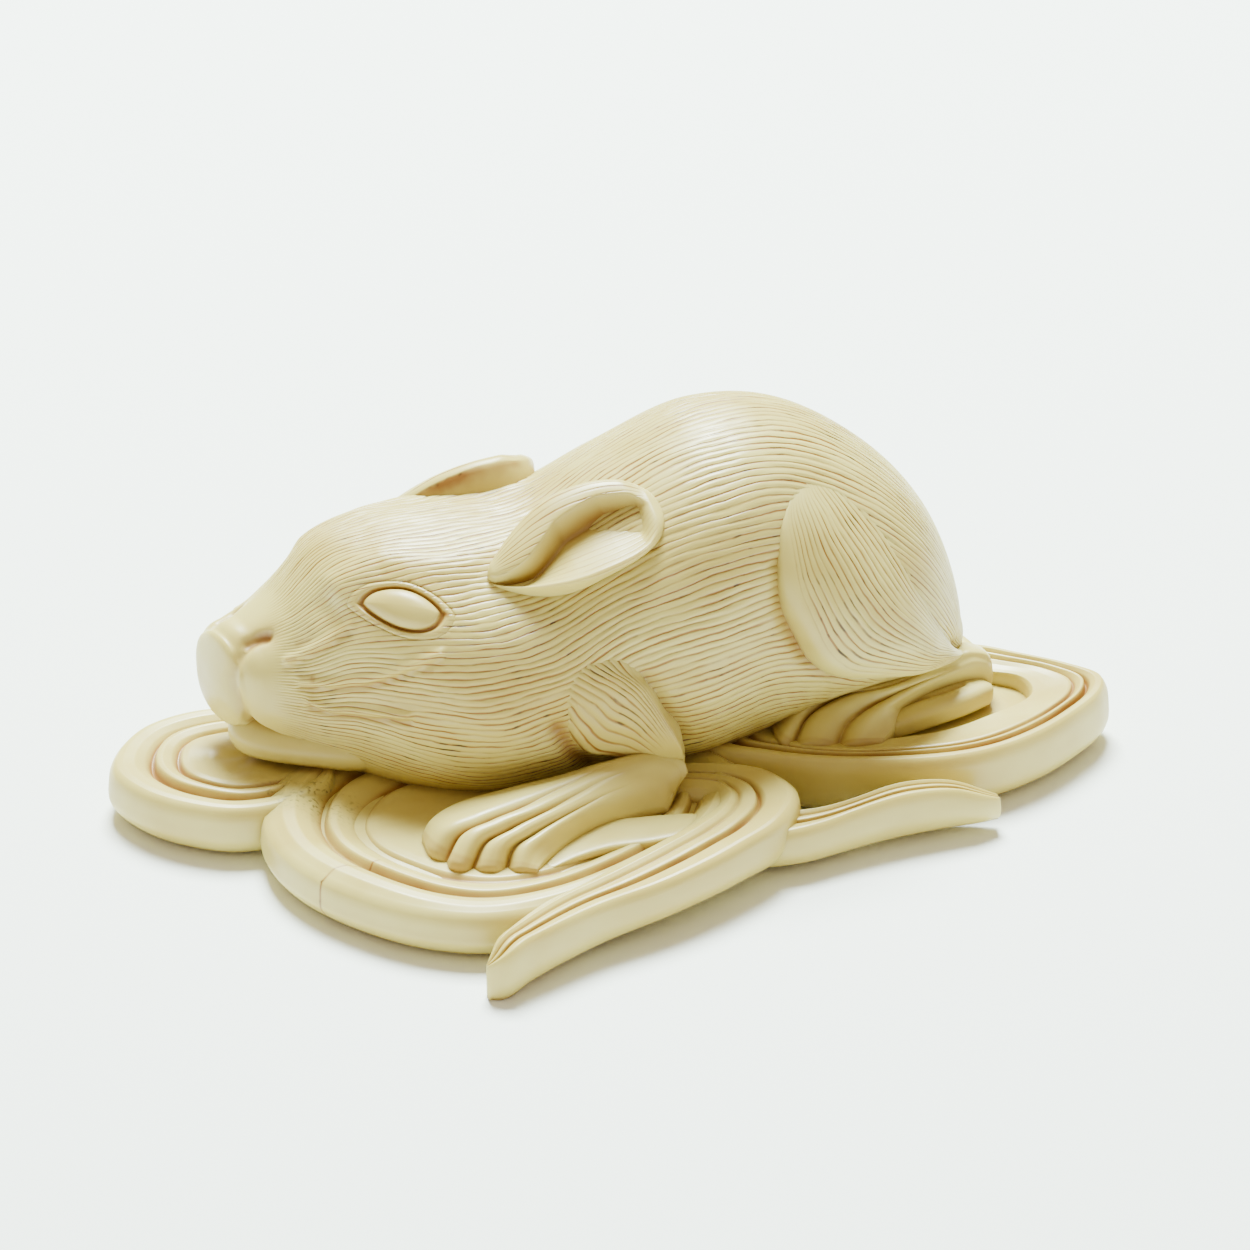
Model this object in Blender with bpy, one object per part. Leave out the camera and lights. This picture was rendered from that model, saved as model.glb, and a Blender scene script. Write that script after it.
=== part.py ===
"""A carved ivory okimono: a hare lying with its chin down on swirling clouds.

The whole ornament is one solid. It is built from closed shells (body, haunches, legs, toes, ears,
eyes, cloud plates), each a surface of two parameters. The shells are joined into one skin,
thinned to a faceted solid, and cut flat below.

Figures are in millimetres on a carving 72 mm long. Every one is taken as a share of that length,
so LENGTH alone makes the ornament larger or smaller. X runs from nose to tail, the side with the
long-tailed cloud faces -Y, and Z is up.
"""
import math

import bpy
import bmesh
import numpy as np

# Overall size of the carving, in metres
LENGTH = 0.072                # left cloud rim to right cloud rim
DRAWN_LENGTH = 72.0           # the length that the millimetre figures below are drawn for

# Sizes of the clouds, in millimetres
CLOUD_TOP = 4.2               # thickness of the plates under head and forepaws
REAR_CLOUD_TOP = 4.7          # thickness of the plate under the hind foot
BED_TOP = 3.2                 # thickness of the plate between them, under the belly
RIDGE_DEPTH = 0.85            # depth of the grooves between cloud ridges
RIM_LIFT = 1.5                # height at which a plate reaches its full outline
RIM_UNDERCUT = 1.8            # how far the resting face stays inside the outline

# Sizes of the hare, in millimetres
TOE_WIDTH = 2.5               # a toe of the forepaw
HIND_TOE_WIDTH = 2.7          # a toe of the hind foot
EAR_HALF_WIDTH = 3.8          # half the broadest part of an ear
EAR_HOLLOW = 1.1              # depth of the hollow of an ear
EAR_BACK = 0.9                # thickness of an ear behind its rim
EYE_LENGTH = 5.6              # almond eye, corner to corner
EYE_HEIGHT = 3.2              # almond eye, lid to lid
EYE_BULGE = 0.9               # how far the eyeball stands out
MOUTH_DEPTH = 0.6             # depth of the cleft and of the line of the mouth
MOUTH_WIDTH = 0.45            # half width of the same
NOSTRIL_DEPTH = 0.8           # depth of a nostril

# How fine the skin is
SKIN_STEP = 0.32              # grid of the joined skin, in millimetres
TRIANGLES = 9300              # triangles left after thinning

# Middle planes that the hidden side is mirrored about
HEAD_MIDDLE = 1.3
FRONT_MIDDLE = 1.3
REAR_MIDDLE = 3.4

BODY = np.array([
    # x, y, z of a section's centre; yaw, pitch in degrees; reach near, far, up, down; roundness
    (-29.7, -1.0, 9.3, 24, 0, 0.0, 0.0, 0.0, 0.0, 2.0, 2.0),
    (-29.4, -0.9, 9.3, 24, 0, 2.1, 2.1, 2.7, 1.9, 2.3, 2.2),
    (-28.6, -0.7, 9.3, 24, 0, 3.5, 3.3, 4.1, 2.9, 2.4, 2.3),
    (-27.2, -0.3, 9.3, 22, 0, 4.7, 4.0, 4.8, 3.6, 2.4, 2.4),
    (-25.0, 0.1, 9.5, 19, 0, 6.2, 4.6, 5.9, 5.2, 2.2, 2.5),
    (-22.0, 0.6, 9.8, 15, 0, 8.3, 5.8, 8.4, 6.9, 2.1, 2.5),
    (-18.0, 0.9, 10.0, 11, 0, 10.9, 7.9, 9.9, 8.3, 2.1, 2.5),
    (-13.0, 1.1, 10.2, 7, 0, 12.8, 9.8, 10.4, 9.3, 2.0, 2.4),
    (-7.0, 1.4, 10.8, 3, 0, 12.9, 11.0, 10.0, 9.9, 2.0, 2.3),
    (-1.0, 1.7, 11.8, 0, 0, 12.5, 12.1, 11.9, 10.7, 2.0, 2.2),
    (5.0, 2.0, 12.4, 0, 4, 12.5, 12.7, 14.1, 11.3, 2.0, 2.2),
    (10.0, 2.5, 12.2, 0, 10, 11.0, 12.2, 13.6, 10.6, 2.0, 2.2),
    (13.8, 3.0, 11.1, 0, 22, 10.6, 11.6, 11.5, 8.6, 2.0, 2.2),
    (16.7, 3.4, 9.8, 0, 38, 10.1, 10.7, 8.9, 7.0, 2.1, 2.2),
    (19.0, 3.8, 8.4, 0, 54, 9.0, 9.3, 6.3, 5.4, 2.2, 2.2),
    (21.2, 4.1, 7.0, 0, 66, 7.0, 7.2, 3.9, 3.8, 2.2, 2.0),
    (23.1, 4.4, 5.8, 0, 72, 4.0, 4.0, 1.9, 2.0, 2.0, 2.0),
    (24.0, 4.5, 5.2, 0, 72, 0.0, 0.0, 0.0, 0.0, 2.0, 2.0),
])

# Cross profile of a ridged rim: share of the way inward, height of the top there
RIDGED = ((0.10, 0.0), (0.22, 0.0), (0.33, -0.3), (0.42, -1.0), (0.50, -0.8), (0.56, -0.3),
          (0.66, -0.1), (0.74, -0.4), (0.82, -0.95), (0.90, -0.6), (1.0, -0.4))
# Cross profile of a broad pillowed rim
PILLOWED = ((0.05, 0.0), (0.13, 0.4), (0.21, 0.5), (0.28, 0.3), (0.34, -0.4), (0.40, -0.4),
            (0.46, 0.3), (0.56, 0.2), (0.64, -0.4), (0.74, -0.35), (0.86, 0.0), (1.0, 0.0))
# Cross profile of a rim that drops into a pit
PITTED = ((0.05, 0.0), (0.14, 0.0), (0.22, -0.25), (0.28, -0.85), (0.34, -0.4), (0.40, 0.0),
          (0.46, -0.1), (0.52, -0.4), (0.60, -0.3), (0.80, -0.3), (0.94, -0.4), (0.98, -0.7),
          (1.0, -2.4))
# Cross profile of a band with two grooves
BANDED = ((0.06, 0.0), (0.17, 0.0), (0.27, -0.15), (0.33, -0.75), (0.40, -0.2), (0.50, 0.0),
          (0.60, -0.2), (0.66, -0.75), (0.73, -0.25), (0.85, -0.1), (0.95, -0.2), (1.0, -0.5))


def smooth(places, knots, values):
    """A curve through the values at the knots, with the slope at each knot shared by its sides."""
    knots, values = np.asarray(knots, float), np.asarray(values, float)
    step = np.diff(knots)[:, None]
    slope = np.diff(values, axis=0) / step
    tangent = np.vstack([slope[:1], (step[1:] * slope[:-1] + step[:-1] * slope[1:])
                         / (step[1:] + step[:-1]), slope[-1:]])
    places = np.clip(places, knots[0], knots[-1])
    i = np.clip(np.searchsorted(knots, places, side="right") - 1, 0, len(knots) - 2)
    x = ((places - knots[i]) / (knots[i + 1] - knots[i]))[:, None]
    return (values[i] * (1 + 2 * x) * (1 - x) ** 2 + values[i + 1] * x * x * (3 - 2 * x)
            + tangent[i] * step[i] * x * (1 - x) ** 2 - tangent[i + 1] * step[i] * x * x * (1 - x))


def lengths(points, power=1.0):
    """Running length of a chain of points, each step raised to a power."""
    points = np.asarray(points, float)
    return np.concatenate([[0.0], np.cumsum(np.linalg.norm(np.diff(points, axis=0), axis=1) ** power)])


def ring(points, count):
    """Even points on the smooth closed curve through the given points."""
    points = np.asarray(points, float)
    wrapped = np.vstack([points[-3:], points, points[:4]])
    run = lengths(wrapped, 0.5)
    return smooth(np.linspace(run[3], run[3 + len(points)], count + 1)[:-1], run, wrapped)


def track(points, count):
    """Even points on the smooth open curve through the given points."""
    run = lengths(points)
    return smooth(np.linspace(0.0, run[-1], count), run, points)


def rounded(value, roundness):
    """Sine or cosine of a superellipse with the given roundness."""
    return np.sign(value) * np.abs(value) ** (2.0 / roundness)


def side_on(points, closed):
    """Unit vectors that point to the right of travel along a plan curve."""
    ahead = np.roll(points, -1, 0) - np.roll(points, 1, 0) if closed else np.gradient(points, axis=0)
    ahead = ahead / np.linalg.norm(ahead, axis=1, keepdims=True)
    return np.column_stack([ahead[:, 1], -ahead[:, 0]])


def carve(grid, line, width, depth):
    """Sink a soft groove along a chain of points: depth falls off with distance as a bell curve."""
    normal = np.cross(np.gradient(grid, axis=0), np.gradient(grid, axis=1))
    normal /= np.maximum(np.linalg.norm(normal, axis=-1, keepdims=True), 1e-9)
    line = np.asarray(line, float)
    nearest = np.full(grid.shape[:2], np.inf)
    for start, end in zip(line[:-1], line[1:]):
        run = end - start
        share = np.clip((grid - start) @ run / (run @ run), 0.0, 1.0)
        nearest = np.minimum(nearest, np.linalg.norm(grid - start - share[..., None] * run, axis=-1))
    return grid - normal * (depth * np.exp(-(nearest / width) ** 2))[..., None]


def body_surface(along, around):
    """Superellipse sections from nose to tail, each turned and tipped to follow the spine."""
    run = lengths(BODY[:, :3])
    table = smooth(np.linspace(0.0, run[-1], along), run, BODY)
    x, y, z, yaw, pitch, near, far, up, down, top_round, low_round = (c[:, None] for c in table.T)
    angle = np.linspace(-0.5 * math.pi, 1.5 * math.pi, around + 1)[None]
    cos, sin = np.cos(angle), np.sin(angle)
    roundness = np.where(sin >= 0, top_round, low_round)
    across = np.where(cos >= 0, near, far) * rounded(cos, roundness)
    rise = np.where(sin >= 0, up, down) * rounded(sin, roundness)
    yaw, pitch = np.radians(yaw), np.radians(pitch)
    return np.stack([
        x + across * np.sin(yaw) + rise * np.cos(yaw) * np.sin(pitch),
        y - across * np.cos(yaw) + rise * np.sin(yaw) * np.sin(pitch),
        z + rise * np.cos(pitch)], axis=-1)


def hare_body():
    """The body with its nostrils, the cleft below the nose and the line of the mouth."""
    skin = body_surface(240, 160)
    cleft = [(-27.8, -2.1, 13.0), (-28.1, -2.9, 11.6), (-27.9, -3.4, 10.2), (-27.9, -3.5, 8.5)]
    near_mouth = [(-27.8, -3.5, 8.5), (-26.9, -3.6, 7.2), (-25.9, -4.0, 6.2), (-24.2, -4.4, 5.2)]
    far_mouth = [(-27.9, -3.5, 8.5), (-29.0, -2.0, 7.5), (-29.5, 0.2, 7.2), (-29.0, 2.0, 6.8),
                 (-27.4, 3.2, 6.2), (-24.5, 4.2, 5.5)]
    for line in (cleft, near_mouth, far_mouth):
        skin = carve(skin, line, MOUTH_WIDTH, MOUTH_DEPTH)
    for nostril in ([(-26.8, -2.6, 13.3), (-25.9, -2.3, 13.7)], [(-27.6, 1.4, 13.1), (-26.7, 1.9, 13.4)]):
        skin = carve(skin, nostril, MOUTH_WIDTH, NOSTRIL_DEPTH)
    return skin


def limb(path, half_width, half_height, up=(0.0, 0.0, 1.0), roundness=2.0, along=20, around=20):
    """Superellipse sections carried along a path, with rounded ends."""
    run = lengths(path)
    place = 0.5 * (1.0 - np.cos(np.pi * np.linspace(0.0, 1.0, along))) * run[-1]
    centre = smooth(place, run, path)
    wide, high = smooth(place, run, np.column_stack([half_width, half_height])).T
    ahead = np.gradient(centre, axis=0)
    ahead /= np.linalg.norm(ahead, axis=1, keepdims=True)
    side = np.cross(ahead, np.asarray(up, float))
    side /= np.linalg.norm(side, axis=1, keepdims=True)
    crown = np.cross(side, ahead)
    start = np.clip(place / half_width[0], 0.0, 1.0)
    end = np.clip((run[-1] - place) / half_width[-1], 0.0, 1.0)
    swell = np.sqrt(np.minimum(1 - (1 - start) ** 2, 1 - (1 - end) ** 2))
    angle = np.linspace(0.0, 2.0 * math.pi, around + 1)
    a, b = rounded(np.cos(angle), roundness), rounded(np.sin(angle), roundness)
    return (centre[:, None] + (wide * swell)[:, None, None] * a[None, :, None] * side[:, None]
            + (high * swell)[:, None, None] * b[None, :, None] * crown[:, None])


def ear(base, tip, across, along=24, around=24):
    """A leaf from base to tip: a rim round a hollow in front, and a rounded back."""
    base, tip, across = (np.asarray(v, float) for v in (base, tip, across))
    reach = np.linalg.norm(tip - base)
    ahead = (tip - base) / reach
    across = across - ahead * (across @ ahead)
    across /= np.linalg.norm(across)
    face = np.cross(across, ahead)
    face *= np.sign(face[2])
    s = 0.5 * (1.0 - np.cos(np.pi * np.linspace(0.0, 1.0, along)))
    broad = 0.55
    rising = 0.12 + 0.88 * np.sin(np.clip(s / broad, 0, 1) * math.pi / 2) ** 0.9
    falling = np.sqrt(1 - np.clip((s - broad) / (1 - broad), 0, 1) ** 2.6)
    closing = np.sqrt(1 - (1 - np.clip(s / 0.05, 0, 1)) ** 2)
    width = EAR_HALF_WIDTH * rising * falling
    v = np.sin(np.linspace(-0.5, 0.5, around // 2 + 1) * math.pi)
    rim = 0.75 * (1 - 0.15 * v) * np.sqrt(1 - np.abs(v) ** 6)
    cup = EAR_HOLLOW * np.exp(-((v - 0.18) / 0.42) ** 4)
    back = -EAR_BACK * np.sqrt(1 - np.abs(v[::-1]) ** 3)
    hollow = np.clip(s / 0.15, 0, 1) * np.clip((1 - s) / 0.12, 0, 1)
    thin = np.clip((1 - s) / 0.05, 0, 1) ** 0.5 * closing
    front = rim[None] - cup[None] * hollow[:, None]
    depth = np.concatenate([front, np.tile(back[1:], (along, 1))], axis=1) * thin[:, None]
    spread = np.concatenate([v, v[::-1][1:]])
    centre = base + ahead * (reach * s)[:, None] + face * (0.9 * np.sin(math.pi * s))[:, None]
    return (centre[:, None] + (width * closing)[:, None, None] * spread[None, :, None] * across
            + depth[..., None] * face)


def plate(outline, core, top, profile, around=48):
    """A cloud plate: up from the resting face, round the rim, then over the ridges to its core."""
    outer, inner = ring(outline, around), ring(core, around)
    out = side_on(outer, True)
    middle = np.tile(inner.mean(axis=0), (around, 1))
    depth = RIDGE_DEPTH / 0.85
    rows = [(middle, -1.0), (outer - out * RIM_UNDERCUT, -1.0), (outer - out * RIM_UNDERCUT, 0.0),
            (outer - out * 0.5, 0.33 * RIM_LIFT), (outer + out * 0.3, RIM_LIFT),
            (outer + out * 0.3, top - 1.5), (outer + out * 0.2, top - 0.8), (outer, top - 0.3)]
    rows += [(outer + (inner - outer) * share, top + depth * rise) for share, rise in profile]
    rows += [(middle, rows[-1][1])]
    grid = np.stack([np.column_stack([plan, np.full(around, height)]) for plan, height in rows])
    return np.concatenate([grid, grid[:, :1]], axis=1)


def band(outer, inner, tops, lows, along=44):
    """A cloud tail: a ridged section carried between two plan curves, closed at both ends."""
    right, left = track(outer, along), track(inner, along)
    out_right, out_left = side_on(right, False), -side_on(left, False)
    width = np.linalg.norm(right - left, axis=1)
    thin = np.clip(width / 2.0, 0.0, 1.0)
    share = np.linspace(0.0, 1.0, along)
    top = smooth(share, np.linspace(0, 1, len(tops)), np.array(tops)[:, None])[:, 0]
    low = smooth(share, np.linspace(0, 1, len(lows)), np.array(lows)[:, None])[:, 0]
    high = top - low
    depth = RIDGE_DEPTH / 0.85
    e = thin[:, None]
    rows = [(left + (right - left) * 0.25, low), (right - out_right * 1.2 * e, low),
            (right - out_right * 0.2 * e, low + 0.18 * high),
            (right + out_right * 0.25 * e, low + 0.45 * high),
            (right + out_right * 0.2 * e, top - 0.25 * high),
            (right + out_right * 0.05 * e, top - 0.08 * high)]
    rows += [(right + (left - right) * s, top + depth * rise * thin) for s, rise in BANDED]
    rows += [(left + out_left * 0.1 * e, top - 0.3 * high), (left + out_left * 0.1 * e, low + 0.3 * high),
             (left + (right - left) * 0.25, low)]
    grid = np.stack([np.column_stack([plan, height]) for plan, height in rows], axis=1)
    ends = [np.tile(end.mean(axis=0), (1, len(rows), 1)) for end in (grid[0], grid[-1])]
    return np.concatenate([ends[0], grid, ends[1]], axis=0)


def mirrored(grid, middle):
    """The same surface on the hidden side of an upright plane at y = middle."""
    flipped = grid[:, ::-1].copy()
    flipped[..., 1] = 2.0 * middle - flipped[..., 1]
    return flipped


def haunch():
    """The thigh: a broad mass from the top of the rump down to the hock."""
    path = [(9.6, -0.6, 22.2), (11.8, -2.0, 18.2), (14.8, -2.6, 14.0), (18.8, -1.0, 10.2), (22.8, 1.4, 7.6),
            (25.4, 2.4, 5.6)]
    return limb(path, [3.6, 5.8, 6.4, 4.7, 2.6, 1.5], [3.2, 5.9, 6.4, 4.8, 2.6, 1.5],
                up=(0.25, -1.0, 0.2), roundness=2.2, along=30, around=28)


def shoulder():
    """The upper foreleg: from the neck down and back to the elbow."""
    path = [(-7.5, -6.0, 14.0), (-3.6, -8.0, 11.8), (-0.2, -9.4, 8.6), (2.0, -10.0, 5.4)]
    return limb(path, [4.4, 4.7, 3.2, 1.7], [3.6, 3.9, 2.9, 1.6], up=(0.2, -1.0, 0.3))


def foreleg():
    """Forearm from the elbow to the paw, and four toes that fan out from it."""
    arm = limb([(2.0, -10.0, 4.9), (-2.5, -12.0, 4.9), (-7.0, -13.9, 4.8), (-10.0, -15.0, 4.4)],
               [1.7, 2.4, 3.4, 3.7], [1.6, 2.0, 2.0, 1.6])
    knuckles = [(-9.0, -12.6, 5.2), (-8.0, -13.6, 5.3), (-7.0, -14.6, 5.2), (-5.6, -15.2, 5.0)]
    middles = [(-13.4, -14.2, 4.9), (-12.6, -16.0, 4.9), (-10.8, -17.0, 4.8), (-8.6, -17.4, 4.7)]
    tips = [(-15.8, -16.2, 4.1), (-14.6, -17.8, 4.0), (-12.9, -18.7, 3.9), (-10.4, -19.2, 3.8)]
    half = 0.5 * TOE_WIDTH
    toes = [limb(list(toe), [half, half, 0.8 * half], [half, half, 0.8 * half])
            for toe in zip(knuckles, middles, tips)]
    return [arm] + toes


def hind_foot():
    """Foot from the hock forward under the haunch, and three toes."""
    foot = limb([(26.0, 2.6, 4.8), (22.5, -0.4, 5.6), (18.0, -2.8, 6.2), (13.8, -4.9, 5.4)],
                [1.5, 2.2, 2.8, 2.6], [1.4, 1.8, 2.0, 1.7])
    knuckles = [(15.5, -2.6, 6.0), (17.0, -4.0, 6.0), (19.6, -4.4, 5.8)]
    middles = [(12.2, -4.0, 6.1), (13.6, -5.4, 5.9), (16.0, -6.2, 5.4)]
    tips = [(10.1, -6.0, 4.8), (11.8, -7.4, 4.6), (14.4, -7.9, 4.4)]
    half = 0.5 * HIND_TOE_WIDTH
    toes = [limb(list(toe), [half, half, 0.8 * half], [half, half, 0.8 * half])
            for toe in zip(knuckles, middles, tips)]
    return [foot] + toes


def chin():
    """The lower jaw, set in under the lip."""
    return limb([(-28.6, -1.5, 6.3), (-26.0, -1.9, 5.8), (-22.0, -2.4, 5.6), (-16.0, -2.8, 5.4)],
                [1.9, 2.6, 3.6, 5.0], [1.5, 1.7, 2.0, 2.4])


def eye(side):
    """An almond eyeball, its corners drawn out along the head; side is -1 near and 1 far."""
    half = 0.5 * EYE_LENGTH
    path = [(-16.5 - half, side * 5.8 + HEAD_MIDDLE, 17.1), (-16.5, side * 7.5 + HEAD_MIDDLE, 17.0),
            (-16.5 + half, side * 8.7 + HEAD_MIDDLE, 17.2)]
    return limb(path, [0.3, 0.5 * EYE_HEIGHT, 0.3], [0.3, EYE_BULGE, 0.3], up=(-0.3, side * 0.7, 0.6))


def clouds():
    """Swirling plates under the hare, and two pointed tails on the near side."""
    low_left = plate(
        [(-36.9, -2.6), (-35.2, -5.9), (-32.4, -8.3), (-29.0, -9.7), (-25.5, -9.3), (-22, -6.5),
         (-21.5, -1), (-24, 3.5), (-29.5, 5.2), (-34, 3.6), (-36.4, 0.3)],
        [(-30.3, -1.6), (-29.8, -2.6), (-28.6, -3.2), (-27.0, -3.4), (-25.5, -3.2), (-24.5, -2.4),
         (-24.5, -1), (-25.5, -0.2), (-27.5, 0.2), (-29.2, 0), (-30.1, -0.7)], CLOUD_TOP, RIDGED)
    front = plate(
        [(-26.9, -9.5), (-26.6, -14.1), (-24.9, -18.0), (-21.5, -22.0), (-17.7, -24.8),
         (-13.5, -26.2), (-8, -25.4), (-1, -21.5), (5, -16), (7, -9), (3, -3), (-8, 0), (-18, 0),
         (-25, -4)],
        [(-15.5, -13), (-15.3, -13.8), (-14.5, -14.8), (-13.3, -15.6), (-12, -16.2),
         (-10.5, -16.6), (-8.5, -16.4), (-6.5, -15.4), (-4.5, -14), (-4, -12.5), (-5.5, -11.5),
         (-8, -11), (-11, -11), (-14, -11.8)], CLOUD_TOP - 0.4, PILLOWED)
    rear = plate(
        [(8.2, -8.8), (11.4, -10.1), (16.3, -11.2), (21.3, -11.5), (24.8, -10.8), (28.5, -8.9),
         (31.6, -6.3), (33.9, -3.6), (34.4, -1.5), (32.4, 0.6), (29.2, 2.8), (26.2, 4.6), (18, 6),
         (8, 4), (4, -1), (4.5, -6.5)],
        [(14.5, -6.3), (15.5, -6.8), (17.0, -7.1), (20.4, -6.7), (23.1, -6.1), (25.9, -4.8),
         (27.5, -3.8), (28.7, -2.5), (28.9, -1.1), (28.4, 0.3), (26.8, 1.3), (24, 2), (19, 2),
         (15, 0), (13, -2.5), (13.3, -5)], REAR_CLOUD_TOP, PITTED)
    far_front = plate(
        [(-28, 5.5), (-23, 3), (-12, 2), (0, 2), (7, 6), (9, 12), (6.2, 18.6), (-1, 22.2),
         (-9, 23.8), (-17, 22.0), (-23.8, 17.2), (-27.6, 11.0)],
        [(-15.5, 12.5), (-14.5, 11), (-12, 10.5), (-9, 10.5), (-6.5, 11.5), (-5.5, 13),
         (-6, 14.6), (-8, 15.8), (-10.5, 16.3), (-13, 16), (-15, 15), (-15.9, 13.8)],
        CLOUD_TOP - 0.2, PILLOWED)
    far_rear = plate(
        [(5, 6), (12, 3), (20, 2.5), (26.5, 3.9), (25.8, 7.5), (24.3, 12), (20.5, 16.6),
         (14, 19.4), (7, 19.6), (3, 16), (3, 10)],
        [(11, 10), (13, 9), (17, 9), (19.5, 9.5), (19.8, 11), (19, 12.5), (17, 14), (14, 15),
         (11.5, 14.8), (10, 13.5), (10, 11.5)], CLOUD_TOP, RIDGED)
    near_tail = band(
        [(-13.4, -31.3), (-10.6, -29.7), (-5.8, -27.0), (0, -24.4), (5.0, -21.2), (8.6, -17.9),
         (9.9, -14.6), (8.6, -11.2), (4.6, -9.0), (1, -8.5), (-2, -8.5)],
        [(-13.4, -31.0), (-12.9, -28.9), (-9.1, -24.6), (-5.0, -21.8), (-1.0, -19.2),
         (2.4, -16.6), (4.1, -14.6), (3.9, -12.9), (2.2, -11.9), (0, -11.6), (-2, -11.8)],
        [2.2, 3.6, 4.2, 4.4, 4.6, 4.8, 4.9, 4.8, 4.6, 4.4, 4.2],
        [-1.0, 0.0, 0.4, 0.8, 1.0, 1.0, 0.8, 0.6, 0.5, 0.5, 0.5])
    small_tail = band(
        [(6, -18.6), (9.5, -18.3), (13.5, -16.9), (17.1, -15.7), (20.8, -14.6), (23.6, -13.6),
         (24.6, -13.2)],
        [(6, -13.5), (10.1, -14.6), (14.0, -14.2), (16.7, -13.2), (19.3, -12.8), (22.0, -12.7),
         (24.4, -13.0)],
        [3.6, 3.8, 3.9, 4.2, 4.3, 4.0, 2.8], [0.8, 0.7, 0.8, 0.9, 1.0, 1.2, 1.8])
    tongue = limb([(17.0, -5.2, 4.2), (20.5, -4.5, 4.4), (24.0, -2.9, 4.6), (26.2, -1.6, 4.4)],
                  [1.6, 1.7, 1.6, 1.2], [0.7, 0.8, 0.9, 0.8], roundness=3.0)
    bed = plate(
        [(-26, -6), (-24, -14), (-16, -21), (-6, -22), (2, -17), (7, -11), (14, -8.5), (24, -8),
         (31, -3), (29, 1), (22, 8), (19, 14), (5, 18), (-10, 18.5), (-22, 13), (-30, 2)],
        [(-12, -5), (-11, -7), (-9, -8), (-6, -8), (-3, -8), (0, -7), (3, -6), (6, -5), (8, -2),
         (8, 0), (7, 3), (5, 6), (0, 8), (-5, 8), (-9, 5), (-12, 0)], BED_TOP, ((0.2, 0.0), (1.0, 0.0)))
    return [low_left, front, rear, far_front, far_rear, near_tail, small_tail, tongue, bed]


def shells():
    """Every closed shell of the carving."""
    near_ear = ear((-10.4, -6.0, 18.6), (2.0, -5.0, 22.8), (0.05, -0.87, -0.48))
    far_ear = ear((-17.0, 7.4, 16.4), (-5.4, 7.6, 20.8), (0.05, 0.87, -0.48))
    shapes = [hare_body(), chin(), eye(-1), eye(1), near_ear, far_ear]
    for piece in [shoulder()] + foreleg():
        shapes += [piece, mirrored(piece, FRONT_MIDDLE)]
    for piece in [haunch()] + hind_foot():
        shapes += [piece, mirrored(piece, REAR_MIDDLE)]
    return shapes + clouds()


def add_shell(mesh, grid):
    """Add one closed surface to the mesh, with its doubled points merged and its faces outward."""
    shell = bmesh.new()
    rows, columns = grid.shape[:2]
    points = [shell.verts.new(point) for point in grid.reshape(-1, 3)]
    for i in range(rows - 1):
        for j in range(columns - 1):
            corners = [points[i * columns + j], points[(i + 1) * columns + j],
                       points[(i + 1) * columns + j + 1], points[i * columns + j + 1]]
            shell.faces.new(corners)
    bmesh.ops.remove_doubles(shell, verts=shell.verts, dist=1e-6)
    bmesh.ops.recalc_face_normals(shell, faces=shell.faces)
    part = bpy.data.meshes.new("shell")
    shell.to_mesh(part)
    shell.free()
    mesh.from_mesh(part)
    bpy.data.meshes.remove(part)


def ivory():
    """Aged ivory: warm cream, polished, not metal."""
    material = bpy.data.materials.new("ivory")
    material.use_nodes = True
    shader = material.node_tree.nodes["Principled BSDF"]
    shader.inputs["Base Color"].default_value = (0.70, 0.60, 0.39, 1.0)
    shader.inputs["Roughness"].default_value = 0.42
    shader.inputs["Metallic"].default_value = 0.0
    return material


def block_below():
    """A guide block whose top is the plane that the ornament rests on."""
    width, depth = 2.0 * LENGTH, 0.2 * LENGTH
    mesh = bpy.data.meshes.new("ground_cutter")
    cutter = bmesh.new()
    bmesh.ops.create_cube(cutter, size=1.0)
    bmesh.ops.scale(cutter, vec=(width, width, depth), verts=cutter.verts)
    bmesh.ops.translate(cutter, vec=(0.0, 0.0, -0.5 * depth), verts=cutter.verts)
    cutter.to_mesh(mesh)
    cutter.free()
    block = bpy.data.objects.new("ground_cutter", mesh)
    block.hide_render = True
    block.display_type = "WIRE"
    return block


def main():
    """Join the shells into one skin, thin it and cut it flat, with the origin under its middle."""
    for old in list(bpy.data.objects):
        bpy.data.objects.remove(old, do_unlink=True)
    unit = LENGTH / DRAWN_LENGTH
    scene = bpy.context.scene.collection

    grids = shells()
    lowest = np.min([grid.min(axis=(0, 1)) for grid in grids], axis=0)
    highest = np.max([grid.max(axis=(0, 1)) for grid in grids], axis=0)
    middle = 0.5 * (lowest + highest) * (1.0, 1.0, 0.0)
    joined = bmesh.new()
    for grid in grids:
        add_shell(joined, (grid - middle) * unit)
    mesh = bpy.data.meshes.new("hare_on_clouds")
    joined.to_mesh(mesh)
    joined.free()
    hare = bpy.data.objects.new("hare_on_clouds", mesh)
    scene.objects.link(hare)

    skin = hare.modifiers.new("skin", "REMESH")
    skin.mode = "VOXEL"
    skin.voxel_size = SKIN_STEP * unit
    skin.use_smooth_shade = True
    bpy.context.view_layer.update()
    fine = len(hare.evaluated_get(bpy.context.evaluated_depsgraph_get()).data.polygons)
    thin = hare.modifiers.new("thin", "DECIMATE")
    thin.ratio = TRIANGLES / (2.0 * fine)

    block = block_below()
    scene.objects.link(block)
    flat = hare.modifiers.new("flat_below", "BOOLEAN")
    flat.operation = "DIFFERENCE"
    flat.solver = "EXACT"
    flat.object = block
    mesh.materials.append(ivory())


main()
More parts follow.
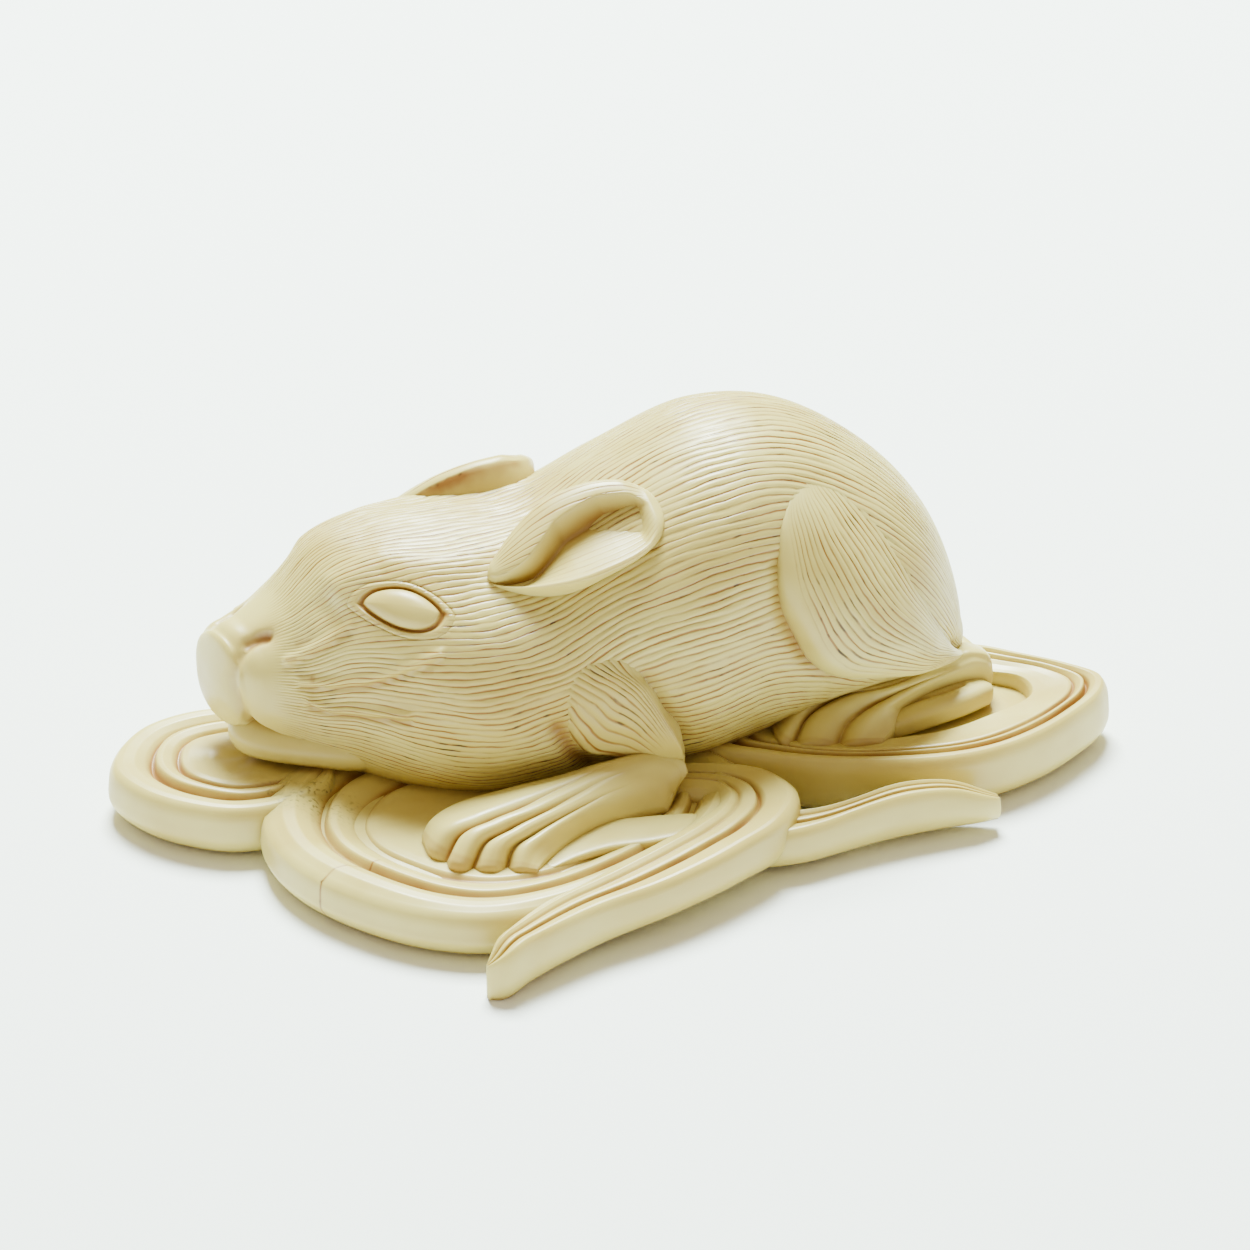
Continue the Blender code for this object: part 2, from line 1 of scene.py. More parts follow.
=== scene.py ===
"""Looks of a carved ivory okimono: a hare lying with its chin down on swirling clouds.

The carving is drawn in millimetres on a piece 72 mm long, X from nose to tail and Z up. Every form is
a surface of two parameters, a grid of points, with what the cutter and the years left on it: where
hair lines run, where there is hair, and how much brown stain and black wax a spot holds.
`Bench.place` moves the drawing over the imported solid, in metres.
"""

import logging
import math
from dataclasses import dataclass, field
from enum import Enum
from functools import partial

import bpy
import numpy as np
from mathutils import Matrix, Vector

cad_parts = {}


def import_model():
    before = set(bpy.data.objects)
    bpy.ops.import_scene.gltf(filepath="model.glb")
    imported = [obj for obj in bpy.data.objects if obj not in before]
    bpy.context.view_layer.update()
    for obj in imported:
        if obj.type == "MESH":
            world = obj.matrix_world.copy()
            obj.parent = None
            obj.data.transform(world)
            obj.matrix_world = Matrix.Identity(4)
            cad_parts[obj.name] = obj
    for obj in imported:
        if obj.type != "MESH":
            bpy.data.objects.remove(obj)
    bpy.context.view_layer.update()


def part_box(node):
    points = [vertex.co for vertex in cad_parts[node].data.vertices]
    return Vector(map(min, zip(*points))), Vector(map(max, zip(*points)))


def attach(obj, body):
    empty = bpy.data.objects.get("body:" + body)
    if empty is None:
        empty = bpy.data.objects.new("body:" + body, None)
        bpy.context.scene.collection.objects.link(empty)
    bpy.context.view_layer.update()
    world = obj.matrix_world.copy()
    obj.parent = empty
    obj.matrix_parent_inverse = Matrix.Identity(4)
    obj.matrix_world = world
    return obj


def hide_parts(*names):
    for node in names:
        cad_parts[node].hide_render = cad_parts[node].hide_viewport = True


LOG = logging.getLogger("okimono")

NODE = "hare_on_clouds"
BODY = "root"
MM = 0.001                    # metres to a drawn millimetre
PITCH = 0.57                  # hair lines on the flank, centre to centre, in mm
CUTS_PER_LINE = 3             # columns of the surface to each hair line
GIRTH = np.array([1.0, 8.0])  # place along the trunk and angle round it, both turned to about a mm


class Side(Enum):
    """The side that the photograph shows, and the hidden one."""

    NEAR = -1
    FAR = 1


def linear(code: str) -> tuple[float, float, float, float]:
    """Turn an sRGB hex colour to the linear values that a shader takes.

    Args:
        code: Six hex digits.

    Returns:
        Red, green, blue and full opacity.
    """
    parts = np.array([int(code[i:i + 2], 16) / 255.0 for i in (0, 2, 4)])
    low, high = parts / 12.92, ((parts + 0.055) / 1.055) ** 2.4
    return (*np.where(parts <= 0.04045, low, high).tolist(), 1.0)


def smooth(places: np.ndarray, knots: list | np.ndarray, values: list | np.ndarray) -> np.ndarray:
    """Draw a curve through values at knots: cubic pieces that share the slope at each knot.

    Args:
        places: Where to read the curve, any shape.
        knots: Rising places of the known values.
        values: The known values, one row to a knot.

    Returns:
        The values at the places, with a last axis for the columns of values.
    """
    knots, values = np.asarray(knots, float), np.asarray(values, float)
    step = np.diff(knots)[:, None]
    slope = np.diff(values, axis=0) / step
    shared = (step[1:] * slope[:-1] + step[:-1] * slope[1:]) / (step[1:] + step[:-1])
    tangent = np.vstack([slope[:1], shared, slope[-1:]])
    flat = np.clip(np.ravel(places), knots[0], knots[-1])
    i = np.clip(np.searchsorted(knots, flat, side="right") - 1, 0, len(knots) - 2)
    x = ((flat - knots[i]) / (knots[i + 1] - knots[i]))[:, None]
    curve = (values[i] * (1 + 2 * x) * (1 - x) ** 2 + values[i + 1] * x * x * (3 - 2 * x)
             + tangent[i] * step[i] * x * (1 - x) ** 2 - tangent[i + 1] * step[i] * x * x * (1 - x))
    return curve.reshape(np.shape(places) + values.shape[1:])


def lengths(points: np.ndarray, power: float = 1.0) -> np.ndarray:
    """Add up the steps of a chain of points.

    Args:
        points: The chain, one point to a row.
        power: Power that each step is raised to.

    Returns:
        The running length at each point, from 0.
    """
    steps = np.linalg.norm(np.diff(np.asarray(points, float), axis=0), axis=1)
    return np.concatenate([[0.0], np.cumsum(steps ** power)])


def level(values: tuple, count: int) -> np.ndarray:
    """Even readings of the smooth curve through values at even shares."""
    return smooth(np.linspace(0, 1, count), np.linspace(0, 1, len(values)), np.array(values)[:, None])[:, 0]


def ring(points: tuple, turn: np.ndarray) -> np.ndarray:
    """Read the smooth closed curve through some points, paced by the root of their spacing.

    Args:
        points: Points in order round the curve.
        turn: Shares of the way round.

    Returns:
        A point for each share.
    """
    points = np.asarray(points, float)
    wrapped = np.vstack([points[-3:], points, points[:4]])
    run = lengths(wrapped, 0.5)
    return smooth(run[3] + turn * (run[3 + len(points)] - run[3]), run, wrapped)


def track(points: tuple | list | np.ndarray, count: int) -> np.ndarray:
    """Even points on the smooth open curve through the given ones."""
    run = lengths(points)
    return smooth(np.linspace(0.0, run[-1], count), run, points)


def rounded(value: np.ndarray, roundness: float | np.ndarray) -> np.ndarray:
    """Sine or cosine of a superellipse: the sign kept, the size to the power of two over roundness."""
    return np.sign(value) * np.abs(value) ** (2.0 / roundness)


def dome(share: np.ndarray, roundness: float) -> np.ndarray:
    """Arch from 0 through 1 to 0 over a share: the root of 1 less |2 share - 1| to a power."""
    return np.sqrt(np.clip(1 - np.abs(2 * share - 1) ** roundness, 0, 1))


def step_up(value: np.ndarray, start: float, end: float) -> np.ndarray:
    """Rise from 0 at the start to 1 at the end in an S: three squares less two cubes."""
    x = np.clip((value - start) / (end - start), 0.0, 1.0)
    return x * x * (3.0 - 2.0 * x)


def side_on(points: np.ndarray, closed: bool) -> np.ndarray:
    """Find which way is right when travelling along a plan curve.

    Args:
        points: The curve.
        closed: Whether its last point leads on to its first.

    Returns:
        A unit vector at each point.
    """
    ahead = np.roll(points, -1, 0) - np.roll(points, 1, 0) if closed else np.gradient(points, axis=0)
    ahead = ahead / np.linalg.norm(ahead, axis=1, keepdims=True)
    return np.column_stack([ahead[:, 1], -ahead[:, 0]])


def wander(rng: np.random.Generator, along: np.ndarray, count: int, wave: float) -> np.ndarray:
    """Make a slow unevenness along each of a set of lines: three sines of random phase for each.

    Args:
        rng: Source of the phases.
        along: Distance along the lines in mm.
        count: Number of lines.
        wave: Wavelength of the slowest sine in mm.

    Returns:
        Values between -1 and 1, one row to a distance and one column to a line.
    """
    total = np.zeros((len(along), count))
    for share, pace in ((0.5, 1.0), (0.3, 2.3), (0.2, 4.9)):
        phase = rng.uniform(0.0, 2.0 * math.pi, count)
        total += share * np.sin(2.0 * math.pi * pace * along[:, None] / wave + phase)
    return total


@dataclass
class Skin:
    """One closed surface: rows run along it, columns round it, and the end rows are single points.

    The columns don't repeat the first one. `hair` holds the distance along a line in mm and the
    number of the line, with one more column that closes the round. `gauge` holds the points that
    distances are measured from, which for the trunk's far side are their twins on the near side.
    """

    points: np.ndarray
    hair: np.ndarray
    stain: np.ndarray
    hairy: np.ndarray
    soot: np.ndarray
    gauge: np.ndarray

    @classmethod
    def plain(cls, points: np.ndarray) -> "Skin":
        """Wrap a grid of points that has no cuts yet.

        Args:
            points: Rows, columns and the three coordinates.

        Returns:
            The skin, with no stain and no hair.
        """
        rows, columns = points.shape[:2]
        along = lengths(points.mean(axis=1))
        hair = np.stack(np.broadcast_arrays(along[:, None], np.zeros((1, columns + 1))), axis=-1)
        return cls(points, hair, *(np.zeros((rows, columns)) for _ in range(3)), points.copy())

    def normals(self) -> np.ndarray:
        """Cross the step along the rows with the step round the columns.

        Returns:
            An outward unit vector at each point.
        """
        ahead = np.gradient(self.points, axis=0)
        across = np.roll(self.points, -1, 1) - np.roll(self.points, 1, 1)
        normal = np.cross(ahead, across) * (1.0 if self.volume() > 0 else -1.0)
        return normal / np.maximum(np.linalg.norm(normal, axis=-1, keepdims=True), 1e-9)

    def volume(self) -> float:
        """Add up a sixth of each quad's corner times its normal.

        Returns:
            The volume, less than 0 where the surface is inside out.
        """
        p, q = self.points, np.roll(self.points, -1, 1)
        normal = np.cross(q[1:] - p[:-1], q[:-1] - p[1:])
        return float(np.sum((p[:-1] + q[1:]) * normal)) / 12.0

    def facing_out(self) -> "Skin":
        """Turn the round the other way if the surface is inside out.

        Returns:
            This skin, or one with its columns in the other order.
        """
        if self.volume() > 0:
            return self
        back = [np.roll(a[:, ::-1], 1, 1) for a in (self.points, self.stain, self.hairy, self.soot)]
        return Skin(back[0], self.hair[:, ::-1], back[1], back[2], back[3], back[0])

    def mirrored(self, middle: float) -> "Skin":
        """Mirror the surface in the upright plane y = middle.

        Args:
            middle: Where the plane stands.

        Returns:
            The skin on the other side.
        """
        flipped = self.points.copy()
        flipped[..., 1] = 2.0 * middle - flipped[..., 1]
        return Skin(flipped, self.hair, self.stain, self.hairy, self.soot, flipped)

    def nearness(self, line: tuple | np.ndarray, width: float) -> np.ndarray:
        """Say how near each point is to a chain of points, as a bell curve of the distance.

        Args:
            line: The chain, at least two points.
            width: Distance at which the bell falls to a third.

        Returns:
            1 on the line, falling to 0 away from it.
        """
        chain = np.asarray(line, float)
        low, high = chain.min(axis=0) - 3.0 * width, chain.max(axis=0) + 3.0 * width
        close = np.all((self.gauge > low) & (self.gauge < high), axis=-1)
        points = self.gauge[close]
        nearest = np.full(len(points), np.inf)
        for start, end in zip(chain[:-1], chain[1:]):
            run = end - start
            share = np.clip((points - start) @ run / max(run @ run, 1e-9), 0.0, 1.0)
            nearest = np.minimum(nearest, np.sum((points - start - share[:, None] * run) ** 2, axis=-1))
        bell = np.zeros(self.gauge.shape[:2])
        bell[close] = np.exp(-nearest / width ** 2)
        return bell

    def cut(self, line: np.ndarray, width: float, depth: float, stain: float = 0.0) -> None:
        """Sink a rounded groove along a chain of points, or raise a ridge with a negative depth.

        Args:
            line: The chain of points, on the surface.
            width: Half width of the groove in mm.
            depth: Depth of the groove in mm.
            stain: How brown the groove is, 0 to 1.
        """
        near = self.nearness(line, width)
        self.points = self.points - self.normals() * (depth * near)[..., None]
        self.stain = np.maximum(self.stain, stain * near)

    def comb(self, first: int, last: int, depth: np.ndarray, cuts: int = CUTS_PER_LINE) -> None:
        """Sink the hair lines: each column that starts a line goes in, the ones between stay out.

        Args:
            first: First column that may be a line.
            last: Column to stop before.
            depth: Depth in mm at each point.
            cuts: Columns to a line.
        """
        comb = np.zeros(self.points.shape[1])
        comb[first:last:cuts] = 1.0
        self.points = self.points - self.normals() * (depth * comb)[..., None]


@dataclass
class Bench:
    """Where the carving stands, and what turns skins into pieces of the scene."""

    lowest: np.ndarray
    highest: np.ndarray
    drawn_middle: np.ndarray = field(default_factory=lambda: np.array([-1.282, -3.63, 0.0]))

    def place(self, points: np.ndarray) -> np.ndarray:
        """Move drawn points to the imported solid's place, in metres."""
        middle = 0.5 * (self.lowest + self.highest) * (1.0, 1.0, 0.0)
        return (points - self.drawn_middle) * MM + middle

    def piece(self, name: str, skins: list[Skin], material: bpy.types.Material) -> bpy.types.Object:
        """Join skins into one mesh object with its hair map and its stain.

        Each skin gives one point for each end row and a full ring for each row between, triangles
        round both end points and quads elsewhere.

        Args:
            name: Name of the piece.
            skins: The closed surfaces.
            material: Its finish.

        Returns:
            The object, at the origin, riding on the carving's body.
        """
        points, faces, maps, stain, hairy, soot = [], [], [], [], [], []
        count = 0
        for skin in (s.facing_out() for s in skins):
            rows, columns = skin.points.shape[:2]
            number = count + 1 + np.arange((rows - 2) * columns).reshape(rows - 2, columns)
            number = np.concatenate([number, number[:, :1]], axis=1)
            hair, h = skin.hair, skin.hair[1:-1]
            tip, tail = count, count + 1 + (rows - 2) * columns
            a, b, c, d = number[:-1, :-1], number[1:, :-1], number[1:, 1:], number[:-1, 1:]
            fan_in = np.stack([np.full(columns, tip), number[0, :-1], number[0, 1:]], axis=1)
            quads = np.stack([a, b, c, d], axis=-1).reshape(-1, 4)
            fan_out = np.stack([number[-1, :-1], np.full(columns, tail), number[-1, 1:]], axis=1)
            faces += fan_in.tolist() + quads.tolist() + fan_out.tolist()
            maps += [np.stack([hair[0, :-1], h[0, :-1], h[0, 1:]], axis=1).reshape(-1, 2),
                     np.stack([h[:-1, :-1], h[1:, :-1], h[1:, 1:], h[:-1, 1:]], axis=2).reshape(-1, 2),
                     np.stack([h[-1, :-1], hair[-1, :-1], h[-1, 1:]], axis=1).reshape(-1, 2)]
            for store, values in ((stain, skin.stain), (hairy, skin.hairy), (soot, skin.soot)):
                store += [values[0, :1], values[1:-1].ravel(), values[-1, :1]]
            points += [skin.points[0, :1], skin.points[1:-1].reshape(-1, 3), skin.points[-1, :1]]
            count += 2 + (rows - 2) * columns
        mesh = bpy.data.meshes.new(name)
        mesh.from_pydata(self.place(np.concatenate(points)).tolist(), [], faces)
        hair_map = mesh.uv_layers.new(name="hair")
        hair_map.data.foreach_set("uv", np.concatenate(maps).astype(np.float32).ravel())
        for label, store in (("stain", stain), ("hairy", hairy), ("soot", soot)):
            layer = mesh.attributes.new(label, "FLOAT", "POINT")
            layer.data.foreach_set("value", np.concatenate(store).astype(np.float32))
        mesh.shade_smooth()
        mesh.materials.append(material)
        piece = bpy.data.objects.new(name, mesh)
        bpy.context.scene.collection.objects.link(piece)
        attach(piece, BODY)
        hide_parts(NODE)
        triangles = sum(len(face) - 2 for face in faces)
        LOG.info("%s: %d surfaces, %d triangles", name, len(skins), triangles)
        return piece


def limb(path: list, half_width: list, half_height: list, up: tuple = (0.0, 0.0, 1.0),
         roundness: float = 2.0, along: int = 44, around: int = 36) -> Skin:
    """Carry a superellipse along a path: width and height are read along it, both ends are rounded.

    Args:
        path: Points that the middle of the limb passes.
        half_width: Half width at each point of the path.
        half_height: Half height at each point of the path.
        up: Direction that the height leans to.
        roundness: 2 for an ellipse, more for a squarer section.
        along: Rows.
        around: Columns.

    Returns:
        The limb's skin; column 0 is on its side, a quarter of the way round is its crown.
    """
    run = lengths(path)
    place = 0.5 * (1.0 - np.cos(np.pi * np.linspace(0.0, 1.0, along))) * run[-1]
    centre = smooth(place, run, path)
    wide, high = smooth(place, run, np.column_stack([half_width, half_height])).T
    ahead = np.gradient(centre, axis=0)
    ahead /= np.linalg.norm(ahead, axis=1, keepdims=True)
    side = np.cross(ahead, np.asarray(up, float))
    side /= np.linalg.norm(side, axis=1, keepdims=True)
    crown = np.cross(side, ahead)
    start = np.clip(place / half_width[0], 0.0, 1.0)
    end = np.clip((run[-1] - place) / half_width[-1], 0.0, 1.0)
    swell = np.sqrt(np.minimum(1 - (1 - start) ** 2, 1 - (1 - end) ** 2))
    angle = np.linspace(0.0, 2.0 * math.pi, around + 1)[:-1]
    a, b = rounded(np.cos(angle), roundness), rounded(np.sin(angle), roundness)
    points = (centre[:, None] + (wide * swell)[:, None, None] * a[None, :, None] * side[:, None]
              + (high * swell)[:, None, None] * b[None, :, None] * crown[:, None])
    return Skin.plain(points)


def quilt(net: tuple, rows: int, columns: int) -> tuple[np.ndarray, np.ndarray]:
    """Stretch a smooth sheet over a net of points: curves along it first, then across.

    The first and the last line of the net are its edges, half a toe outside the next one.

    Args:
        net: Lines of points, all with the same number of stations.
        rows: Rows of the sheet, along the lines.
        columns: Columns of the sheet, from the first line to the last.

    Returns:
        Rows, columns and the three coordinates, and the place of each column counted in toes.
    """
    net = np.asarray(net, float).transpose(1, 0, 2)
    stations, lines = net.shape[:2]
    along = lengths(net.mean(axis=1))
    threads = smooth(np.linspace(0.0, along[-1], rows), along, net.reshape(stations, -1))
    threads = threads.reshape(rows, lines, 3)
    toes = np.concatenate([[0.0], np.arange(lines - 2) + 0.5, [lines - 2.0]])
    place = np.linspace(0.0, toes[-1], columns)
    sheet = smooth(place, toes, threads.transpose(1, 0, 2).reshape(lines, -1))
    return sheet.reshape(columns, rows, 3).transpose(1, 0, 2), place


@dataclass(frozen=True)
class FlankForm:
    """A limb carved on the flank: hair lines run between two curves that close up at the joint.

    The curves are points of the crease, of the middle line if it isn't halfway, and of the line
    where the form runs out.
    """

    curves: tuple
    lines: int                    # hair lines
    rows: int                     # along them
    heights: tuple                # mm over the trunk, at even shares along the lines
    edge: float                   # share across that the crease's rounding takes
    bare: float                   # share across, beside the crease, that has no hair
    full: float                   # how far the joint end keeps its height across, 0 to 1
    fade: tuple                   # shares along the lines where hair starts, is full, thins and ends


@dataclass(frozen=True)
class Foot:
    """A foot as drawn: the top edge, the back of each toe and the low edge, from the joint to the tip."""

    net: tuple
    floor: float                  # height that its walls go down to
    folds: tuple = (0.0, 0.0, 0.08, 0.3, 0.6, 0.85, 0.9)      # mm between toes, from the joint to the tip


@dataclass(frozen=True)
class Ear:
    """An ear as drawn: a leaf laid back on the neck."""

    base: tuple                   # where it leaves the head
    tip: tuple
    across: tuple                 # direction from the upper rim to the lower one
    root: float                   # how deep its back goes into the head at the base, in mm
    free: tuple                   # shares of the length between which its back comes free
    half_width: float = 3.8
    hollow: float = 1.25          # mm
    broadest: float = 0.55        # share of the length


@dataclass
class Hare:
    """The lying hare: trunk with its head, limbs, chin, and ears laid back.

    The trunk is a table of tipped and turned superellipses along a spine. A place on it is given by
    the distance along the spine and the angle round the section. Haunch, shoulder and eye are
    reliefs: closed forms whose face stands on the trunk at a height.
    """

    front_middle: float = 1.3     # y of the plane that the forelegs mirror in
    rear_middle: float = 3.4      # y of the plane that the hind feet mirror in
    far_foot_ahead: float = 2.2   # mm that the far hind foot stands further forward
    hair_depth: float = 0.095     # mm
    stroke_mm: float = 6.0        # run over which a cut keeps its depth
    stray: float = 0.14           # how far a line strays on its own, in lines
    stray_mm: float = 12.0        # over this wavelength
    flank_stray: float = 0.15     # the same on haunch and shoulder
    flank_stray_mm: float = 14.0
    bare_nose: tuple = (-25.8, -23.2)             # x between which the bare nose turns to hair
    rows: int = 270
    head_end: float = -11.0       # x up to where half of the rows lie
    first_line: float = 0.105     # share of the girth, from under the belly, where the hair starts
    last_line: float = 0.895
    rng: np.random.Generator = field(default_factory=lambda: np.random.default_rng(7))
    # x, y, z of a section's centre; yaw, pitch in degrees; reach near, far, up, down; roundness
    spine: tuple = (
        (-29.7, -1.0, 9.3, 24, 0, 0.0, 0.0, 0.0, 0.0, 2.0, 2.0),
        (-29.4, -0.9, 9.3, 24, 0, 2.1, 2.1, 2.7, 1.9, 2.3, 2.2),
        (-28.6, -0.7, 9.3, 24, 0, 3.5, 3.3, 4.1, 2.9, 2.4, 2.3),
        (-27.2, -0.3, 9.3, 22, 0, 4.7, 4.0, 4.8, 3.6, 2.4, 2.4),
        (-25.0, 0.1, 9.5, 19, 0, 6.2, 4.6, 6.1, 5.2, 2.2, 2.5),
        (-22.0, 0.6, 9.8, 15, 0, 8.3, 5.8, 9.0, 6.9, 2.1, 2.5),
        (-18.0, 0.9, 10.0, 11, 0, 10.9, 7.9, 10.2, 8.3, 2.1, 2.5),
        (-13.0, 1.1, 10.2, 7, 0, 12.8, 9.8, 10.4, 9.3, 2.0, 2.4),
        (-7.0, 1.4, 10.8, 3, 0, 12.9, 11.0, 10.0, 9.9, 2.0, 2.3),
        (-1.0, 1.7, 11.8, 0, 0, 12.5, 12.1, 11.9, 10.7, 2.0, 2.2),
        (5.0, 2.0, 12.4, 0, 4, 12.5, 12.7, 14.1, 11.3, 2.0, 2.2),
        (10.0, 2.5, 12.2, 0, 10, 11.0, 12.2, 13.6, 10.6, 2.0, 2.2),
        (13.8, 3.0, 11.1, 0, 22, 10.6, 11.6, 11.5, 8.6, 2.0, 2.2),
        (16.7, 3.4, 9.8, 0, 38, 10.1, 10.7, 8.9, 7.0, 2.1, 2.2),
        (19.0, 3.8, 8.4, 0, 54, 9.0, 9.3, 6.3, 5.4, 2.2, 2.2),
        (21.2, 4.1, 7.0, 0, 66, 7.0, 7.2, 3.9, 3.8, 2.2, 2.0),
        (23.1, 4.4, 5.8, 0, 72, 4.0, 4.0, 1.9, 2.0, 2.0, 2.0),
        (24.0, 4.5, 5.2, 0, 72, 0.0, 0.0, 0.0, 0.0, 2.0, 2.0),
    )
    # Broad forms of the near side: points on the trunk, width and height in mm
    swells: tuple = (
        (((-20.2, -3.4, 17.9), (-17.6, -3.2, 19.5), (-14.5, -4.6, 19.6)), 1.3, 0.35),
        (((-21.6, -4.2, 16.6), (-20.4, -5.4, 15.6)), 1.1, -0.35),
        (((-26.3, -4.0, 11.2), (-25.6, -4.6, 9.2)), 1.7, 0.3),
        (((-12.5, -4.8, 19.5), (-10.0, -3.9, 20.3), (-7.5, -2.6, 20.9)), 1.5, 0.4),
        (((-9.0, -11.4, 13.5), (-7.0, -11.7, 10.4)), 2.0, -0.3),
    )
    # Corners of the eye, front and back, then the middles of its upper and lower lid
    eye_marks: tuple = ((-19.1, -5.1, 17.1), (-13.9, -7.7, 17.3), (-16.4, -5.5, 18.3), (-16.5, -7.6, 16.1))
    # Share of the almond's reach, and height there in mm: ball, groove, soft lid, then under the skin
    eye_profile: tuple = ((0, 0.5), (0.3, 0.46), (0.6, 0.33), (0.8, 0.15), (0.9, 0.0), (0.97, -0.24),
                          (1.03, -0.26), (1.1, -0.02), (1.18, 0.04), (1.3, 0.0), (1.45, -0.25))
    nostril: tuple = ((-26.9, -2.4, 13.3), (-26.3, -2.35, 13.5), (-25.7, -2.5, 13.7))
    nostril_dip: tuple = ((-27.2, -2.3, 13.2), (-25.4, -2.7, 13.8))
    cleft: tuple = ((-27.2, -2.6, 13.0), (-27.9, -2.9, 11.9), (-28.1, -3.2, 10.6), (-27.9, -3.5, 9.5),
                    (-27.7, -3.6, 8.5), (-27.0, -3.6, 7.3))
    mouth: tuple = ((-27.0, -3.6, 7.3), (-25.9, -4.0, 6.2), (-24.2, -4.4, 5.2))
    whiskers: tuple = (
        ((-24.4, -4.3, 12.7), (-22.8, -4.7, 13.6), (-21.4, -5.2, 14.6), (-20.0, -5.5, 15.8)),
        ((-23.6, -5.2, 11.5), (-21.7, -6.2, 11.7), (-19.3, -7.5, 12.4), (-17.1, -8.6, 13.6),
         (-14.2, -9.4, 15.1)),
        ((-23.0, -5.7, 10.1), (-21.7, -6.4, 9.8), (-20.4, -7.1, 9.9), (-18.4, -8.3, 10.1),
         (-16.6, -9.4, 10.4)))
    armpit: tuple = ((-6.4, -11.4, 9.3), (-6.0, -11.2, 8.5), (-5.4, -10.8, 7.3), (-4.7, -10.2, 6.2),
                     (-3.8, -9.2, 5.1))
    # Where black strokes gather, with the width in mm, and a few brown strokes on the face
    soot_lines: tuple = (
        (((11.5, 1.0, 25.8), (13.5, 1.5, 25.0), (15.7, 1.5, 23.6), (18.1, 0.4, 21.3)), 1.9),
        (((-17.5, -9.6, 8.6), (-14.8, -10.6, 8.1), (-12.0, -11.2, 8.0)), 1.2),
        (((-22.8, -5.6, 11.0), (-21.0, -6.6, 10.8)), 0.7))
    haunch_soot: tuple = ((12.8, -8.6, 19.0), (13.7, -9.4, 16.0), (15.8, -9.3, 13.2))
    shoulder_soot: tuple = ((-3.4, -11.3, 15.3), (-2.4, -11.8, 13.5), (-1.6, -11.8, 10.6), (-0.4, -11.5, 9.3))
    stain_strokes: tuple = (
        ((-23.7, -4.1, 13.8), (-22.8, -4.4, 14.2)), ((-24.4, -4.4, 12.8), (-23.8, -4.6, 12.9)),
        ((-15.5, -9.4, 13.7), (-14.9, -9.7, 13.8)), ((-22.8, -5.5, 11.9), (-22.7, -5.6, 11.7)),
        ((-23.1, -5.7, 9.9), (-22.9, -5.8, 9.8)))
    haunch: FlankForm = FlankForm((
        ((12.8, -2.9, 23.5), (11.0, -4.9, 22.6), (10.1, -6.5, 20.9), (9.9, -7.5, 18.9),
         (10.0, -8.3, 16.1), (10.9, -8.3, 13.4), (11.9, -8.0, 11.3), (13.1, -7.6, 10.2),
         (15.9, -6.8, 9.4), (19.0, -5.4, 8.8), (21.7, -3.7, 8.4), (23.6, -1.3, 7.7)),
        ((13.0, -2.7, 23.5), (14.8, -1.7, 23.0), (16.5, -1.8, 21.6), (18.3, -2.2, 19.7),
         (19.8, -3.1, 17.2), (20.9, -3.7, 14.7), (22.0, -3.5, 12.1), (23.6, -1.3, 7.7))),
        23, 150, (-0.3, 0.1, 0.8, 1.3, 1.5, 1.4, 1.3, 1.1, 0.8), 0.12, 0.11, 0.0, (0.08, 0.25, 0.86, 0.97))
    shoulder: FlankForm = FlankForm((
        ((-0.9, -10.3, 15.2), (-0.8, -10.5, 14.2), (-0.2, -10.7, 12.5), (0.5, -10.7, 11.3),
         (1.3, -10.6, 9.7), (2.0, -10.3, 8.6), (2.4, -10.0, 7.8), (2.6, -9.6, 6.9)),
        ((-6.1, -10.7, 14.1), (-4.9, -11.0, 13.5), (-4.0, -11.0, 12.9), (-3.0, -11.0, 12.3),
         (-2.0, -10.9, 11.5), (-0.9, -10.7, 10.6), (0.3, -10.5, 9.4), (1.4, -10.1, 8.0), (2.1, -9.4, 6.6)),
        ((-8.3, -11.5, 12.0), (-7.3, -11.6, 10.5), (-6.3, -11.4, 8.9), (-5.4, -10.8, 7.4),
         (-4.6, -10.0, 6.1), (-3.2, -9.6, 5.9), (-1.2, -9.4, 6.0), (0.6, -9.3, 6.0), (1.8, -9.3, 6.2))),
        15, 120, (-0.4, 0.0, 0.35, 0.7, 1.1, 1.6, 2.1, 2.2), 0.2, 0.06, 1.0, (0.0, 0.15, 0.7, 0.86))
